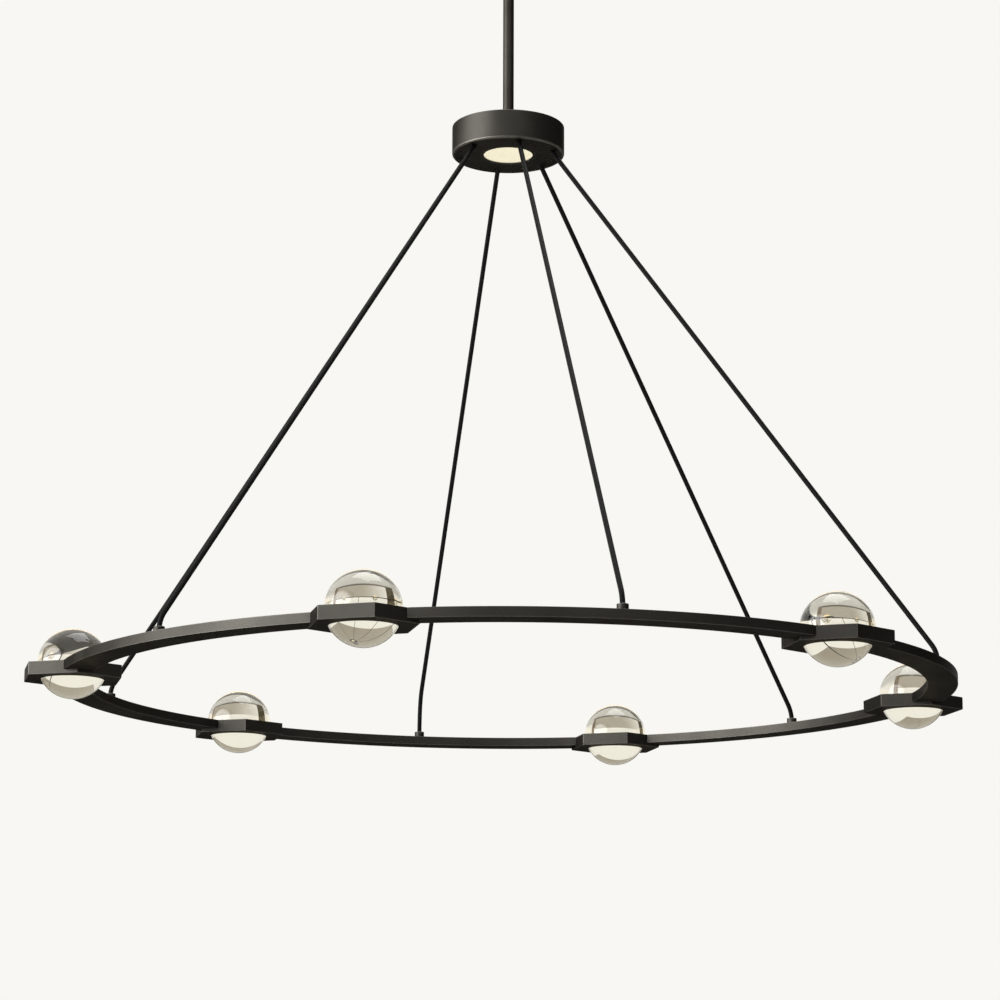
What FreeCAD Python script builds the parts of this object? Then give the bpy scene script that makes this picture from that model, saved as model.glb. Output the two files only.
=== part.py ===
"""Ring chandelier with six clear glass orbs, modelled in millimetres.

The origin is the centre of the ceiling mount, on the ceiling plane, and +Z is up, so
nearly everything hangs below zero. A hang-straight swivel inside the canopy carries a
stem, the stem carries a round hub with a downlight in its underside, and six cables run
from the hub down to a flat ring. Six hexagonal holders interrupt the ring every 60
degrees, and each has a solid glass orb resting in it, lit from below the rim by a ring
of LEDs.
"""
import FreeCAD, Part
import math
import os
import Sketcher

ORBS = 6
STEP = 360.0 / ORBS
DOCUMENT = FreeCAD.newDocument("RingChandelier")

# name, size in millimetres (degrees where the name says angle), meaning
SIZES = [
    ("stem_drop", 318, "ceiling to the top of the hub"),
    ("cable_drop", 779, "underside of the hub to the plane of the orb centres"),
    ("ring_radius", 610, "centre line of the ring, and of the orbs"),
    ("ring_width", 42, "ring bar, across"),
    ("ring_height", 13, "ring bar, up and down"),
    ("ring_wall", 2, "wall of the hollow ring bar"),
    ("ring_sink", 4.5, "orb centres above the top of the ring and the holders"),
    ("holder_rim", 6, "hexagonal holder outside its pocket, at the middle of a side"),
    ("holder_thickness", 18, "hexagonal holder, up and down"),
    ("pocket_depth", 11.5, "pocket for the orb light, in the top of the holder"),
    ("orb_diameter", 97, "solid glass orb"),
    ("seat_gap", 0.3, "clearance of an orb in its seat"),
    ("light_gap", 0.8, "clearance of an orb in its light ring, as it lifts out"),
    ("light_ring_width", 7.4, "ring of light round an orb, across"),
    ("light_fit", 0.3, "radial clearance of the light ring in its pocket"),
    ("board_thickness", 1.6, "every LED board"),
    ("spigot_reach", 30, "spigot inside the ring bar, beyond the corner of the holder"),
    ("spigot_gap", 0.2, "clearance of a spigot inside the ring bar"),
    ("joint_screw_diameter", 4, "screw through the ring into a spigot"),
    ("joint_head_diameter", 7, "its head"),
    ("joint_head_height", 2.2, "its head"),
    ("joint_screw_depth", 8, "its shank, below the top of the ring"),
    ("foot_diameter", 15, "cable gland on the ring"),
    ("foot_height", 9.5, "cable gland above the ring"),
    ("foot_bore_depth", 5, "cable inside that gland"),
    ("foot_thread_diameter", 8, "its thread, through the top wall of the ring"),
    ("foot_thread_length", 6.5, "its thread, below the top of the ring"),
    ("foot_nut_flats", 13, "nut on that thread"),
    ("foot_nut_height", 4, "nut on that thread"),
    ("cable_diameter", 7, "suspension cable with its jacket"),
    ("cable_gap", 0.2, "radial clearance of a cable in its glands"),
    ("cable_exit_inset", 15.5, "cable exits, in from the outside of the hub at its underside"),
    ("cable_bend", 9, "bend of a cable above its foot gland"),
    ("cable_long_bend", 46, "bend of the one cable that bows more"),
    ("cable_hole_gap", 0.6, "radial clearance of a cable in the bottom plate"),
    ("anchor_diameter", 12, "cable anchor inside the hub"),
    ("anchor_length", 15, "that anchor, from the underside of the hub"),
    ("anchor_bore_end", 11, "end of the cable inside it, from the underside of the hub"),
    ("hub_diameter", 165, "hub"),
    ("hub_height", 43, "hub"),
    ("hub_wall", 3.5, "side wall of the hub"),
    ("hub_top_wall", 3, "top wall of the hub"),
    ("hub_edge", 3, "rounding of the hub's bottom edge"),
    ("hub_top_edge", 1, "rounding of the hub's top edge"),
    ("plate_thickness", 2.5, "bottom plate of the hub"),
    ("plate_recess", 0.6, "bottom plate above the hub's rim"),
    ("plate_gap", 0.3, "seam round the bottom plate"),
    ("boss_diameter", 8, "screw boss inside the hub"),
    ("boss_gap", 3, "screw boss from the side wall of the hub"),
    ("plate_screw_diameter", 3, "screw of the bottom plate"),
    ("plate_head_diameter", 5.6, "its head"),
    ("plate_head_height", 1.3, "its head, sunk in the plate"),
    ("plate_screw_depth", 8, "its thread, above the plate"),
    ("window_diameter", 72, "lens that shows"),
    ("lens_ledge", 1.5, "ledge that the lens lies on"),
    ("lens_thickness", 2.5, "lens"),
    ("lens_gap", 0.2, "clearance of the lens, and of the bezel in the plate"),
    ("bezel_wall", 2.3, "tube of the bezel"),
    ("bezel_lip", 1.2, "lip under the lens"),
    ("bezel_flange", 3.5, "flange on the plate, beyond the tube"),
    ("flange_thickness", 1.5, "that flange"),
    ("chamber_height", 10, "light chamber over the lens"),
    ("sink_base", 3, "base of the heat sink"),
    ("sink_fin", 5, "fins of the heat sink"),
    ("sink_slot", 2, "slots between the fins"),
    ("sink_pitch", 11, "spacing of those slots"),
    ("driver_length", 36, "LED driver, along the rim"),
    ("driver_width", 20, "LED driver, in from the rim"),
    ("driver_height", 15, "LED driver"),
    ("driver_gap", 0.6, "corners of the LED driver from the side wall of the hub"),
    ("terminal_length", 30, "terminal block, along the rim"),
    ("terminal_width", 14, "terminal block, in from the rim"),
    ("terminal_height", 12, "terminal block"),
    ("terminal_gap", 0.6, "corners of the terminal block from the side wall of the hub"),
    ("stem_diameter", 16, "stem"),
    ("stem_wall", 1.5, "stem"),
    ("stem_fit", 0.08, "radial clearance of the stem in the swivel ball and the hub"),
    ("stem_end", 2, "stem below its nut in the hub"),
    ("hub_nut_flats", 24, "nut on the stem, inside the hub"),
    ("hub_nut_height", 6, "nut on the stem, inside the hub"),
    ("ball_diameter", 28, "swivel ball"),
    ("socket_gap", 1.5, "socket of the swivel above the floor of the canopy"),
    ("ball_flat", 10, "flat on top of the ball, above its centre"),
    ("ball_gap", 0.3, "clearance on each side of the liner"),
    ("liner_wall", 1.4, "liner between the ball and its seat"),
    ("liner_below", 8, "liner below the ball's centre"),
    ("liner_above", 6, "liner above the ball's centre"),
    ("thrust_gap", 0.1, "stem nut above the ball"),
    ("top_nut_flats", 22, "nut on the top of the stem"),
    ("top_nut_height", 5, "nut on the top of the stem"),
    ("stem_top", 2, "stem above that nut"),
    ("socket_diameter", 42, "socket of the swivel"),
    ("socket_wall", 2, "tube of the socket"),
    ("socket_lip", 1.5, "lip of the socket, under the seat"),
    ("lip_width", 1.6, "that lip, inwards from the tube"),
    ("seat_above", 2, "seat of the ball, above its centre"),
    ("seat_below", 11.5, "seat of the ball, below its centre"),
    ("seat_fit", 0.1, "radial clearance of the seat in the socket"),
    ("tilt_angle", 15, "largest tilt of the stem, in each of two planes at once"),
    ("tilt_gap", 0.7, "clearance of the tilted stem in the seat and in the canopy"),
    ("socket_flange", 2.5, "thickness of the flange of the socket"),
    ("flange_rim", 0.8, "that flange beyond the heads of its screws"),
    ("flange_head_gap", 0.8, "those heads from the tube of the socket"),
    ("flange_screw_diameter", 4, "screws of that flange"),
    ("flange_head_diameter", 6.4, "their heads"),
    ("flange_head_height", 2.4, "their heads"),
    ("bar_end_gap", 5.5, "ends of the crossbar from the side wall of the canopy"),
    ("bar_width", 34, "crossbar"),
    ("bar_thickness", 3, "crossbar"),
    ("wire_hole", 20, "hole for the wires in the crossbar"),
    ("slot_spacing", 89, "slots for the screws of the ceiling box"),
    ("slot_length", 20, "each slot, end to end"),
    ("slot_width", 4.6, "each slot"),
    ("stud_spacing", 120, "studs that carry the canopy"),
    ("stud_diameter", 5, "those studs"),
    ("stud_below", 6.5, "stud below the canopy"),
    ("stud_fit", 0.1, "radial clearance of a cap nut on its stud"),
    ("screw_end", 0.2, "ends of screws below the ceiling plane"),
    ("canopy_diameter", 150, "canopy"),
    ("canopy_depth", 40, "canopy"),
    ("canopy_wall", 1.5, "canopy"),
    ("canopy_edge", 5, "rounding of the canopy's edge"),
    ("canopy_stud_hole", 6.4, "holes for the studs in the canopy"),
    ("cap_nut_diameter", 12, "cap nut under the canopy"),
    ("cap_nut_height", 9, "cap nut under the canopy"),
    ("ground_screw_gap", 4, "ground screw beyond the flange, along the crossbar"),
    ("ground_screw_y", -11, "ground screw from the centre, across the crossbar"),
    ("ground_head_diameter", 7, "ground screw"),
    ("ground_head_height", 2.5, "ground screw"),
]

SHEET = DOCUMENT.addObject("Spreadsheet::Sheet", "Sizes")
for row, (alias, number, meaning) in enumerate(SIZES, start=1):
    SHEET.set("A%d" % row, alias)
    SHEET.set("B%d" % row, str(number))
    SHEET.set("C%d" % row, meaning)
    SHEET.setAlias("B%d" % row, alias)
DOCUMENT.recompute()


class Dim:
    """A number together with the spreadsheet expression that it comes from."""

    def __init__(self, number, text):
        self.number = float(number)
        self.text = text

    @staticmethod
    def of(value):
        return value if isinstance(value, Dim) else Dim(value, repr(float(value)))

    def __add__(self, other):
        other = Dim.of(other)
        return Dim(self.number + other.number, "(%s + %s)" % (self.text, other.text))

    def __radd__(self, other):
        return Dim.of(other) + self

    def __sub__(self, other):
        other = Dim.of(other)
        return Dim(self.number - other.number, "(%s - %s)" % (self.text, other.text))

    def __rsub__(self, other):
        return Dim.of(other) - self

    def __mul__(self, other):
        other = Dim.of(other)
        return Dim(self.number * other.number, "(%s * %s)" % (self.text, other.text))

    def __rmul__(self, other):
        return Dim.of(other) * self

    def __truediv__(self, other):
        other = Dim.of(other)
        return Dim(self.number / other.number, "(%s / %s)" % (self.text, other.text))

    def __neg__(self):
        return Dim(-self.number, "(-%s)" % self.text)


def cosine(degrees):
    degrees = Dim.of(degrees)
    return Dim(math.cos(math.radians(degrees.number)), "cos(%s)" % degrees.text)


def sine(degrees):
    degrees = Dim.of(degrees)
    return Dim(math.sin(math.radians(degrees.number)), "sin(%s)" % degrees.text)


def root(value):
    return Dim(math.sqrt(value.number), "sqrt(%s)" % value.text)


def angle_of(opposite, adjacent):
    """Angle in degrees whose tangent is opposite / adjacent."""
    ratio = Dim.of(opposite) / adjacent
    return Dim(math.degrees(math.atan(ratio.number)),
               "(atan(%s) / 1deg)" % ratio.text)


def size(alias):
    return Dim(SHEET.get(alias), "Sizes.%s" % alias)


# Sizes and the places that follow from them.
ring_radius = size("ring_radius")
ring_wall = size("ring_wall")
hub_top = -size("stem_drop")
hub_bottom = hub_top - size("hub_height")
hub_ceiling = hub_top - size("hub_top_wall")
plate_bottom = hub_bottom + size("plate_recess")
plate_top = plate_bottom + size("plate_thickness")
orb_height = hub_bottom - size("cable_drop")
ring_top = orb_height - size("ring_sink")
ring_bottom = ring_top - size("ring_height")
ring_outer = ring_radius + size("ring_width") / 2
ring_inner = ring_radius - size("ring_width") / 2
orb_radius = size("orb_diameter") / 2
light_inner = orb_radius + size("light_gap")
light_outer = light_inner + size("light_ring_width")
pocket_radius = light_outer + size("light_fit")
holder_flats = 2 * (pocket_radius + size("holder_rim"))
holder_corner = holder_flats / 2 / cosine(30)
pocket_floor = ring_top - size("pocket_depth")
foot_top = ring_top + size("foot_height")
cable_radius = size("cable_diameter") / 2
hub_radius = size("hub_diameter") / 2
hub_bore = hub_radius - size("hub_wall")
exit_radius = hub_radius - size("cable_exit_inset")
ball_radius = size("ball_diameter") / 2
stem_radius = size("stem_diameter") / 2
bar_bottom = -size("bar_thickness")
canopy_radius = size("canopy_diameter") / 2
canopy_wall = size("canopy_wall")
canopy_bottom = -size("canopy_depth")
socket_bottom = canopy_bottom + canopy_wall + size("socket_gap")
seat_bottom = socket_bottom + size("socket_lip")
ball_height = seat_bottom + size("seat_below")
cutter = 5.0                       # how far a cutting solid runs past what it cuts

PIECES = {}                        # node name -> document object


def bind(thing, name, value):
    """Sets a property and ties it to the spreadsheet."""
    value = Dim.of(value)
    if "Sizes." in value.text:
        thing.setExpression(name, value.text)
    else:
        setattr(thing, name, value.number)


def place(thing, x=0, y=0, z=0, yaw=0, pitch=0, roll=0):
    """Puts a thing at x, y, z, turned by roll, then pitch, then yaw."""
    parts = [Dim.of(v).text for v in (x, y, z, yaw, pitch, roll)]
    thing.setExpression("Placement", "placement(vector(%s; %s; %s); rotation(%s; %s; %s))"
                        % tuple(parts))
    return thing


def around(radius, degrees):
    """x and y of a point at this radius and angle about the chandelier's axis."""
    return Dim.of(radius) * cosine(degrees), Dim.of(radius) * sine(degrees)


def cylinder(name, radius, height, x=0, y=0, z=0, angle=None, yaw=0, pitch=0):
    thing = DOCUMENT.addObject("Part::Cylinder", name)
    bind(thing, "Radius", radius)
    bind(thing, "Height", height)
    if angle is not None:
        bind(thing, "Angle", angle)
    return place(thing, x, y, z, yaw, pitch)


def box(name, length, width, height, x=0, y=0, z=0, yaw=0):
    """A box whose base is centred on x, y, z; its length lies along the turned X."""
    thing = DOCUMENT.addObject("Part::Box", name)
    for prop, value in (("Length", length), ("Width", width), ("Height", height)):
        bind(thing, prop, value)
    half_x, half_y = Dim.of(length) / 2, Dim.of(width) / 2
    x0 = x - half_x * cosine(yaw) + half_y * sine(yaw)
    y0 = y - half_x * sine(yaw) - half_y * cosine(yaw)
    return place(thing, x0, y0, z, yaw)


def sphere(name, radius, x=0, y=0, z=0):
    thing = DOCUMENT.addObject("Part::Sphere", name)
    bind(thing, "Radius", radius)
    return place(thing, x, y, z)


def hexagon(name, flats, height, x=0, y=0, z=0, yaw=0):
    """A hexagonal prism; a corner points along the turned X."""
    thing = DOCUMENT.addObject("Part::Prism", name)
    thing.Polygon = 6
    bind(thing, "Circumradius", Dim.of(flats) / 2 / cosine(30))
    bind(thing, "Height", height)
    return place(thing, x, y, z, yaw)


def fuse(name, things):
    thing = DOCUMENT.addObject("Part::MultiFuse", name)
    thing.Shapes = things
    thing.Refine = True
    return thing


def cut(name, base, tools):
    thing = DOCUMENT.addObject("Part::Cut", name)
    thing.Base = base
    thing.Tool = tools[0] if len(tools) == 1 else fuse(name + "Tools", tools)
    return thing


def common(name, things):
    thing = DOCUMENT.addObject("Part::MultiCommon", name)
    thing.Shapes = things
    return thing


def piece(node, thing):
    """Names a finished piece; the label is the name of its file."""
    thing.Label = node
    PIECES[node] = thing
    return thing


def group(node, things):
    """Several separate, identical solids in one node."""
    thing = DOCUMENT.addObject("Part::Compound", "Group_" + node)
    thing.Links = things
    return piece(node, thing)


def new_body(name, z=0, yaw=0):
    body = DOCUMENT.addObject("PartDesign::Body", name)
    place(body, 0, 0, z, yaw)
    return body


def new_sketch(body, name, plane):
    sketch = body.newObject("Sketcher::SketchObject", name)
    origin = [f for f in body.Origin.OriginFeatures if f.Role == plane][0]
    sketch.AttachmentSupport = [(origin, "")]
    sketch.MapMode = "FlatFace"
    return sketch


def constrain(sketch, kind, first, second, value):
    """Distance from the sketch's origin to a point, tied to the spreadsheet."""
    if value.number < 0:
        value = -value
        index = sketch.addConstraint(
            Sketcher.Constraint(kind, first, second, -1, 1, value.number))
    else:
        index = sketch.addConstraint(
            Sketcher.Constraint(kind, -1, 1, first, second, value.number))
    if "Sizes." in value.text:
        sketch.setExpression("Constraints[%d]" % index, value.text)


def outline(sketch, points):
    """A closed outline whose corners are each tied to the spreadsheet."""
    points = [(Dim.of(x), Dim.of(y)) for x, y in points]
    corners = [FreeCAD.Vector(x.number, y.number, 0) for x, y in points]
    first = sketch.GeometryCount
    for start, end in zip(corners, corners[1:] + corners[:1]):
        sketch.addGeometry(Part.LineSegment(start, end), False)
    for index in range(len(corners)):
        following = first + (index + 1) % len(corners)
        sketch.addConstraint(
            Sketcher.Constraint("Coincident", first + index, 2, following, 1))
    for index, (x, y) in enumerate(points):
        if abs(x.number) < 1e-9:
            sketch.addConstraint(
                Sketcher.Constraint("PointOnObject", first + index, 1, -2))
        else:
            constrain(sketch, "DistanceX", first + index, 1, x)
        if abs(y.number) < 1e-9:
            sketch.addConstraint(
                Sketcher.Constraint("PointOnObject", first + index, 1, -1))
        else:
            constrain(sketch, "DistanceY", first + index, 1, y)


def circle(sketch, x, y, radius):
    x, y, radius = Dim.of(x), Dim.of(y), Dim.of(radius)
    centre = FreeCAD.Vector(x.number, y.number, 0)
    index = sketch.addGeometry(
        Part.Circle(centre, FreeCAD.Vector(0, 0, 1), radius.number), False)
    number = sketch.addConstraint(Sketcher.Constraint("Radius", index, radius.number))
    sketch.setExpression("Constraints[%d]" % number, radius.text)
    for kind, value, axis in (("DistanceX", x, -2), ("DistanceY", y, -1)):
        if abs(value.number) < 1e-9:
            sketch.addConstraint(Sketcher.Constraint("PointOnObject", index, 3, axis))
        else:
            constrain(sketch, kind, index, 3, value)


def revolved(body, name, points):
    """The body's outline turned a full circle about its Z axis."""
    sketch = new_sketch(body, name + "Outline", "XZ_Plane")
    outline(sketch, points)
    feature = body.newObject("PartDesign::Revolution", name)
    feature.Profile = sketch
    feature.ReferenceAxis = (sketch, ["V_Axis"])
    feature.Angle = 360
    return feature


def padded(body, name, sketch, height):
    feature = body.newObject("PartDesign::Pad", name)
    feature.Profile = sketch
    bind(feature, "Length", height)
    return feature


def cut_through(body, name, sketch):
    """Cuts the sketch both ways through the body."""
    feature = body.newObject("PartDesign::Pocket", name)
    feature.Profile = sketch
    feature.Type = "ThroughAll"
    feature.Midplane = True
    return feature


def rounded(body, name, base, radius, circles):
    """Rounds the circular edges of these radii and heights."""
    DOCUMENT.recompute()
    chosen = []
    for number, edge in enumerate(base.Shape.Edges, start=1):
        if not isinstance(edge.Curve, Part.Circle):
            continue
        for edge_radius, height in circles:
            if (abs(edge.Curve.Radius - Dim.of(edge_radius).number) < 1e-4
                    and abs(edge.Curve.Center.z - Dim.of(height).number) < 1e-4):
                chosen.append("Edge%d" % number)
    feature = body.newObject("PartDesign::Fillet", name)
    feature.Base = (base, chosen)
    bind(feature, "Radius", radius)
    return feature


# Ceiling bracket: the crossbar, the swivel's socket and the studs of the canopy.
slot_radius = size("slot_width") / 2
slot_straight = (size("slot_length") - size("slot_width")) / 2
slot_centre = size("slot_spacing") / 2
stud_x = size("stud_spacing") / 2
stud_radius = size("stud_diameter") / 2
socket_radius = size("socket_diameter") / 2
socket_bore = socket_radius - size("socket_wall")
flange_screw_radius = size("flange_screw_diameter") / 2
flange_head_radius = size("flange_head_diameter") / 2
flange_x = socket_radius + size("flange_head_gap") + flange_head_radius
flange_radius = flange_x + flange_head_radius + size("flange_rim")
ground_x, ground_y = flange_radius + size("ground_screw_gap"), size("ground_screw_y")


def swing(depth):
    """Room for the stem so far below the ball's centre, tilted in both planes at once."""
    upright = cosine(size("tilt_angle")) * cosine(size("tilt_angle"))
    slope = root(Dim.of(1) / (upright * upright) - 1)
    return depth * slope + stem_radius / upright + size("tilt_gap")


crossbar = new_body("Crossbar", bar_bottom)
bar_sketch = new_sketch(crossbar, "BarOutline", "XY_Plane")
half_bar_x = canopy_radius - canopy_wall - size("bar_end_gap")
half_bar_y = size("bar_width") / 2
outline(bar_sketch, [(-half_bar_x, -half_bar_y), (half_bar_x, -half_bar_y),
                     (half_bar_x, half_bar_y), (-half_bar_x, half_bar_y)])
padded(crossbar, "Bar", bar_sketch, size("bar_thickness"))
hole_sketch = new_sketch(crossbar, "BarHoles", "XY_Plane")
circle(hole_sketch, 0, 0, size("wire_hole") / 2)
for side in (-1, 1):
    circle(hole_sketch, side * stud_x, 0, stud_radius)
    circle(hole_sketch, side * flange_x, 0, flange_screw_radius)
circle(hole_sketch, ground_x, ground_y, flange_screw_radius)
cut_through(crossbar, "BarHolesCut", hole_sketch)
slot_sketch = new_sketch(crossbar, "BarSlots", "XY_Plane")
for side in (-1, 1):
    outline(slot_sketch, [(side * slot_centre - slot_straight, -slot_radius),
                          (side * slot_centre + slot_straight, -slot_radius),
                          (side * slot_centre + slot_straight, slot_radius),
                          (side * slot_centre - slot_straight, slot_radius)])
cut_through(crossbar, "BarSlotsCut", slot_sketch)
for side, end in ((-1, -1), (-1, 1), (1, -1), (1, 1)):
    name = "SlotEnd%s%s" % ("ab"[side > 0], "ab"[end > 0])
    end_sketch = new_sketch(crossbar, name, "XY_Plane")
    circle(end_sketch, side * slot_centre + end * slot_straight, 0, slot_radius)
    cut_through(crossbar, name + "Cut", end_sketch)
piece("crossbar", crossbar)

flange_bottom = bar_bottom - size("socket_flange")
socket = new_body("Socket")
revolved(socket, "SocketTurned", [
    (socket_bore, bar_bottom), (flange_radius, bar_bottom), (flange_radius, flange_bottom),
    (socket_radius, flange_bottom), (socket_radius, socket_bottom),
    (socket_bore - size("lip_width"), socket_bottom),
    (socket_bore - size("lip_width"), seat_bottom), (socket_bore, seat_bottom)])
flange_holes = new_sketch(socket, "FlangeHoles", "XY_Plane")
for side in (-1, 1):
    circle(flange_holes, side * flange_x, 0, flange_screw_radius)
cut_through(socket, "FlangeHolesCut", flange_holes)
piece("swivel_socket", socket)

cavity_radius = ball_radius + 2 * size("ball_gap") + size("liner_wall")
seat_height = size("seat_above") + size("seat_below")
seat_blank = cylinder("SeatBlank", socket_bore - size("seat_fit"), seat_height,
                      z=seat_bottom)
piece("swivel_seat", cut("Seat", seat_blank, [
    sphere("SeatSphere", cavity_radius, z=ball_height),
    cylinder("SeatOpening", swing(size("seat_below")), seat_height,
             z=seat_bottom - size("seat_above"))]))

flange_screws = []
for name, x in (("Left", -flange_x), ("Right", flange_x)):
    flange_screws.append(fuse("FlangeScrew" + name, [
        cylinder("FlangeShank" + name, flange_screw_radius,
                 -size("screw_end") - flange_bottom, x=x, z=flange_bottom),
        cylinder("FlangeHead" + name, flange_head_radius, size("flange_head_height"), x=x,
                 z=flange_bottom - size("flange_head_height"))]))
group("socket_screws", flange_screws)

piece("ground_screw", fuse("GroundScrew", [
    cylinder("GroundShank", flange_screw_radius, size("bar_thickness") - size("screw_end"),
             x=ground_x, y=ground_y, z=bar_bottom),
    cylinder("GroundHead", size("ground_head_diameter") / 2, size("ground_head_height"),
             x=ground_x, y=ground_y, z=bar_bottom - size("ground_head_height"))]))

stud_end = canopy_bottom - size("stud_below")
group("canopy_studs", [
    cylinder("StudLeft", stud_radius, -size("screw_end") - stud_end, x=-stud_x, z=stud_end),
    cylinder("StudRight", stud_radius, -size("screw_end") - stud_end, x=stud_x,
             z=stud_end)])

# Canopy: a shallow cup with its rim on the ceiling, and the nuts that hold it up.
canopy = new_body("Canopy", canopy_bottom)
canopy_hole = swing(ball_height - canopy_bottom)
cup = revolved(canopy, "CanopyTurned", [
    (canopy_hole, 0), (canopy_radius, 0), (canopy_radius, size("canopy_depth")),
    (canopy_radius - canopy_wall, size("canopy_depth")),
    (canopy_radius - canopy_wall, canopy_wall), (canopy_hole, canopy_wall)])
canopy_round = rounded(canopy, "CanopyEdge", cup, size("canopy_edge"),
                       [(canopy_radius, 0)])
rounded(canopy, "CanopyInnerEdge", canopy_round, size("canopy_edge") - canopy_wall,
        [(canopy_radius - canopy_wall, canopy_wall)])
stud_holes = new_sketch(canopy, "StudHoles", "XY_Plane")
for side in (-1, 1):
    circle(stud_holes, side * stud_x, 0, size("canopy_stud_hole") / 2)
cut_through(canopy, "StudHolesCut", stud_holes)
piece("canopy_cover", canopy)

cap_nuts = []
for name, x in (("Left", -stud_x), ("Right", stud_x)):
    blank = cylinder("CapNutBlank" + name, size("cap_nut_diameter") / 2,
                     size("cap_nut_height"), x=x,
                     z=canopy_bottom - size("cap_nut_height"))
    bore = cylinder("CapNutBore" + name, stud_radius + size("stud_fit"),
                    size("stud_below") + cutter, x=x,
                    z=stud_end - size("stud_fit"))
    cap_nuts.append(cut("CapNut" + name, blank, [bore]))
group("canopy_cap_nuts", cap_nuts)

# Swivel: the liner tilts one way in the seat, and the ball the other way in the liner.
liner_outer = ball_radius + size("ball_gap") + size("liner_wall")
liner_shell = cut("LinerShell", sphere("LinerOuter", liner_outer, z=ball_height),
                  [sphere("LinerInner", ball_radius + size("ball_gap"), z=ball_height)])
piece("swivel_liner", common("Liner", [liner_shell, cylinder(
    "LinerBand", liner_outer + cutter, size("liner_below") + size("liner_above"),
    z=ball_height - size("liner_below"))]))

ball_bore = stem_radius + size("stem_fit")
piece("swivel_ball", cut("Ball", sphere("BallSphere", ball_radius, z=ball_height), [
    cylinder("BallBore", ball_bore, size("ball_diameter") + 2 * cutter,
             z=ball_height - ball_radius - cutter),
    cylinder("BallFlat", ball_radius + cutter, ball_radius,
             z=ball_height + size("ball_flat"))]))

# Stem, with a nut on the ball and a nut under the hub's top wall.
top_nut_bottom = ball_height + size("ball_flat") + size("thrust_gap")
top_nut_top = top_nut_bottom + size("top_nut_height")
stem_top = top_nut_top + size("stem_top")
hub_nut_bottom = hub_ceiling - size("hub_nut_height")
stem_bottom = hub_nut_bottom - size("stem_end")
stem_tube = new_body("Stem")
revolved(stem_tube, "StemTurned", [
    (stem_radius - size("stem_wall"), stem_bottom), (stem_radius, stem_bottom),
    (stem_radius, stem_top), (stem_radius - size("stem_wall"), stem_top)])
piece("stem", stem_tube)
piece("stem_top_nut", cut("TopNut", hexagon(
    "TopNutBlank", size("top_nut_flats"), size("top_nut_height"), z=top_nut_bottom),
    [cylinder("TopNutBore", stem_radius, size("top_nut_height") + 2 * cutter,
              z=top_nut_bottom - cutter)]))
piece("stem_hub_nut", cut("HubNut", hexagon(
    "HubNutBlank", size("hub_nut_flats"), size("hub_nut_height"), z=hub_nut_bottom),
    [cylinder("HubNutBore", stem_radius, size("hub_nut_height") + 2 * cutter,
              z=hub_nut_bottom - cutter)]))

# Hub: a housing open below, a bottom plate, and the downlight on that plate.
boss_circle = hub_bore - size("boss_gap") - size("boss_diameter") / 2
housing = new_body("Housing", hub_bottom)
drum = revolved(housing, "HousingTurned", [
    (hub_bore, 0), (hub_radius, 0), (hub_radius, size("hub_height")),
    (stem_radius + size("stem_fit"), size("hub_height")),
    (stem_radius + size("stem_fit"), size("hub_height") - size("hub_top_wall")),
    (hub_bore, size("hub_height") - size("hub_top_wall"))])
drum = rounded(housing, "HubBottomEdge", drum, size("hub_edge"), [(hub_radius, 0)])
rounded(housing, "HubTopEdge", drum, size("hub_top_edge"),
        [(hub_radius, size("hub_height"))])
screw_angles = [STEP, 3 * STEP, 5 * STEP]
plate_screw_radius = size("plate_screw_diameter") / 2
bosses, boss_holes, plate_holes, plate_screws = [], [], [], []
for number, angle in enumerate(screw_angles, start=1):
    x, y = around(boss_circle, angle)
    head_top = plate_bottom + size("plate_head_height")
    bosses.append(cylinder("Boss%d" % number, size("boss_diameter") / 2,
                           hub_ceiling - plate_top, x=x, y=y, z=plate_top))
    boss_holes.append(cylinder("BossHole%d" % number, plate_screw_radius,
                               size("plate_screw_depth"), x=x, y=y, z=plate_top))
    plate_holes.append(cylinder("PlateHole%d" % number,
                                plate_screw_radius + size("lens_gap"),
                                size("plate_thickness") + 2 * cutter, x=x, y=y,
                                z=plate_bottom - cutter))
    plate_holes.append(cylinder("PlateSink%d" % number,
                                size("plate_head_diameter") / 2 + size("lens_gap"),
                                size("plate_head_height") + cutter, x=x, y=y,
                                z=plate_bottom - cutter))
    plate_screws.append(fuse("PlateScrew%d" % number, [
        cylinder("PlateShank%d" % number, plate_screw_radius,
                 plate_top + size("plate_screw_depth") - plate_bottom, x=x, y=y,
                 z=plate_bottom),
        cylinder("PlateHead%d" % number, size("plate_head_diameter") / 2,
                 size("plate_head_height"), x=x, y=y, z=plate_bottom)]))
piece("hub_housing", cut("HousingDrilled", fuse("HousingWithBosses", [housing] + bosses),
                         boss_holes))
group("hub_plate_screws", plate_screws)

# Cables: each leaves the hub on a slant, runs straight and bends down into its foot.
FOOT_ANGLES = [STEP / 2 + STEP * k for k in range(ORBS)]
LONG_BEND = 1                      # the cable at 90 degrees bows more than the others


def slant_of(bend):
    """Angle of a cable from the vertical, in degrees."""
    return angle_of(ring_radius - exit_radius, hub_bottom - foot_top - bend)


def on_cable(angle, slant, along):
    """The point so far up a cable's axis from where it leaves the hub's underside."""
    x, y = around(exit_radius - along * sine(slant), angle)
    return x, y, hub_bottom + along * cosine(slant)


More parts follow.
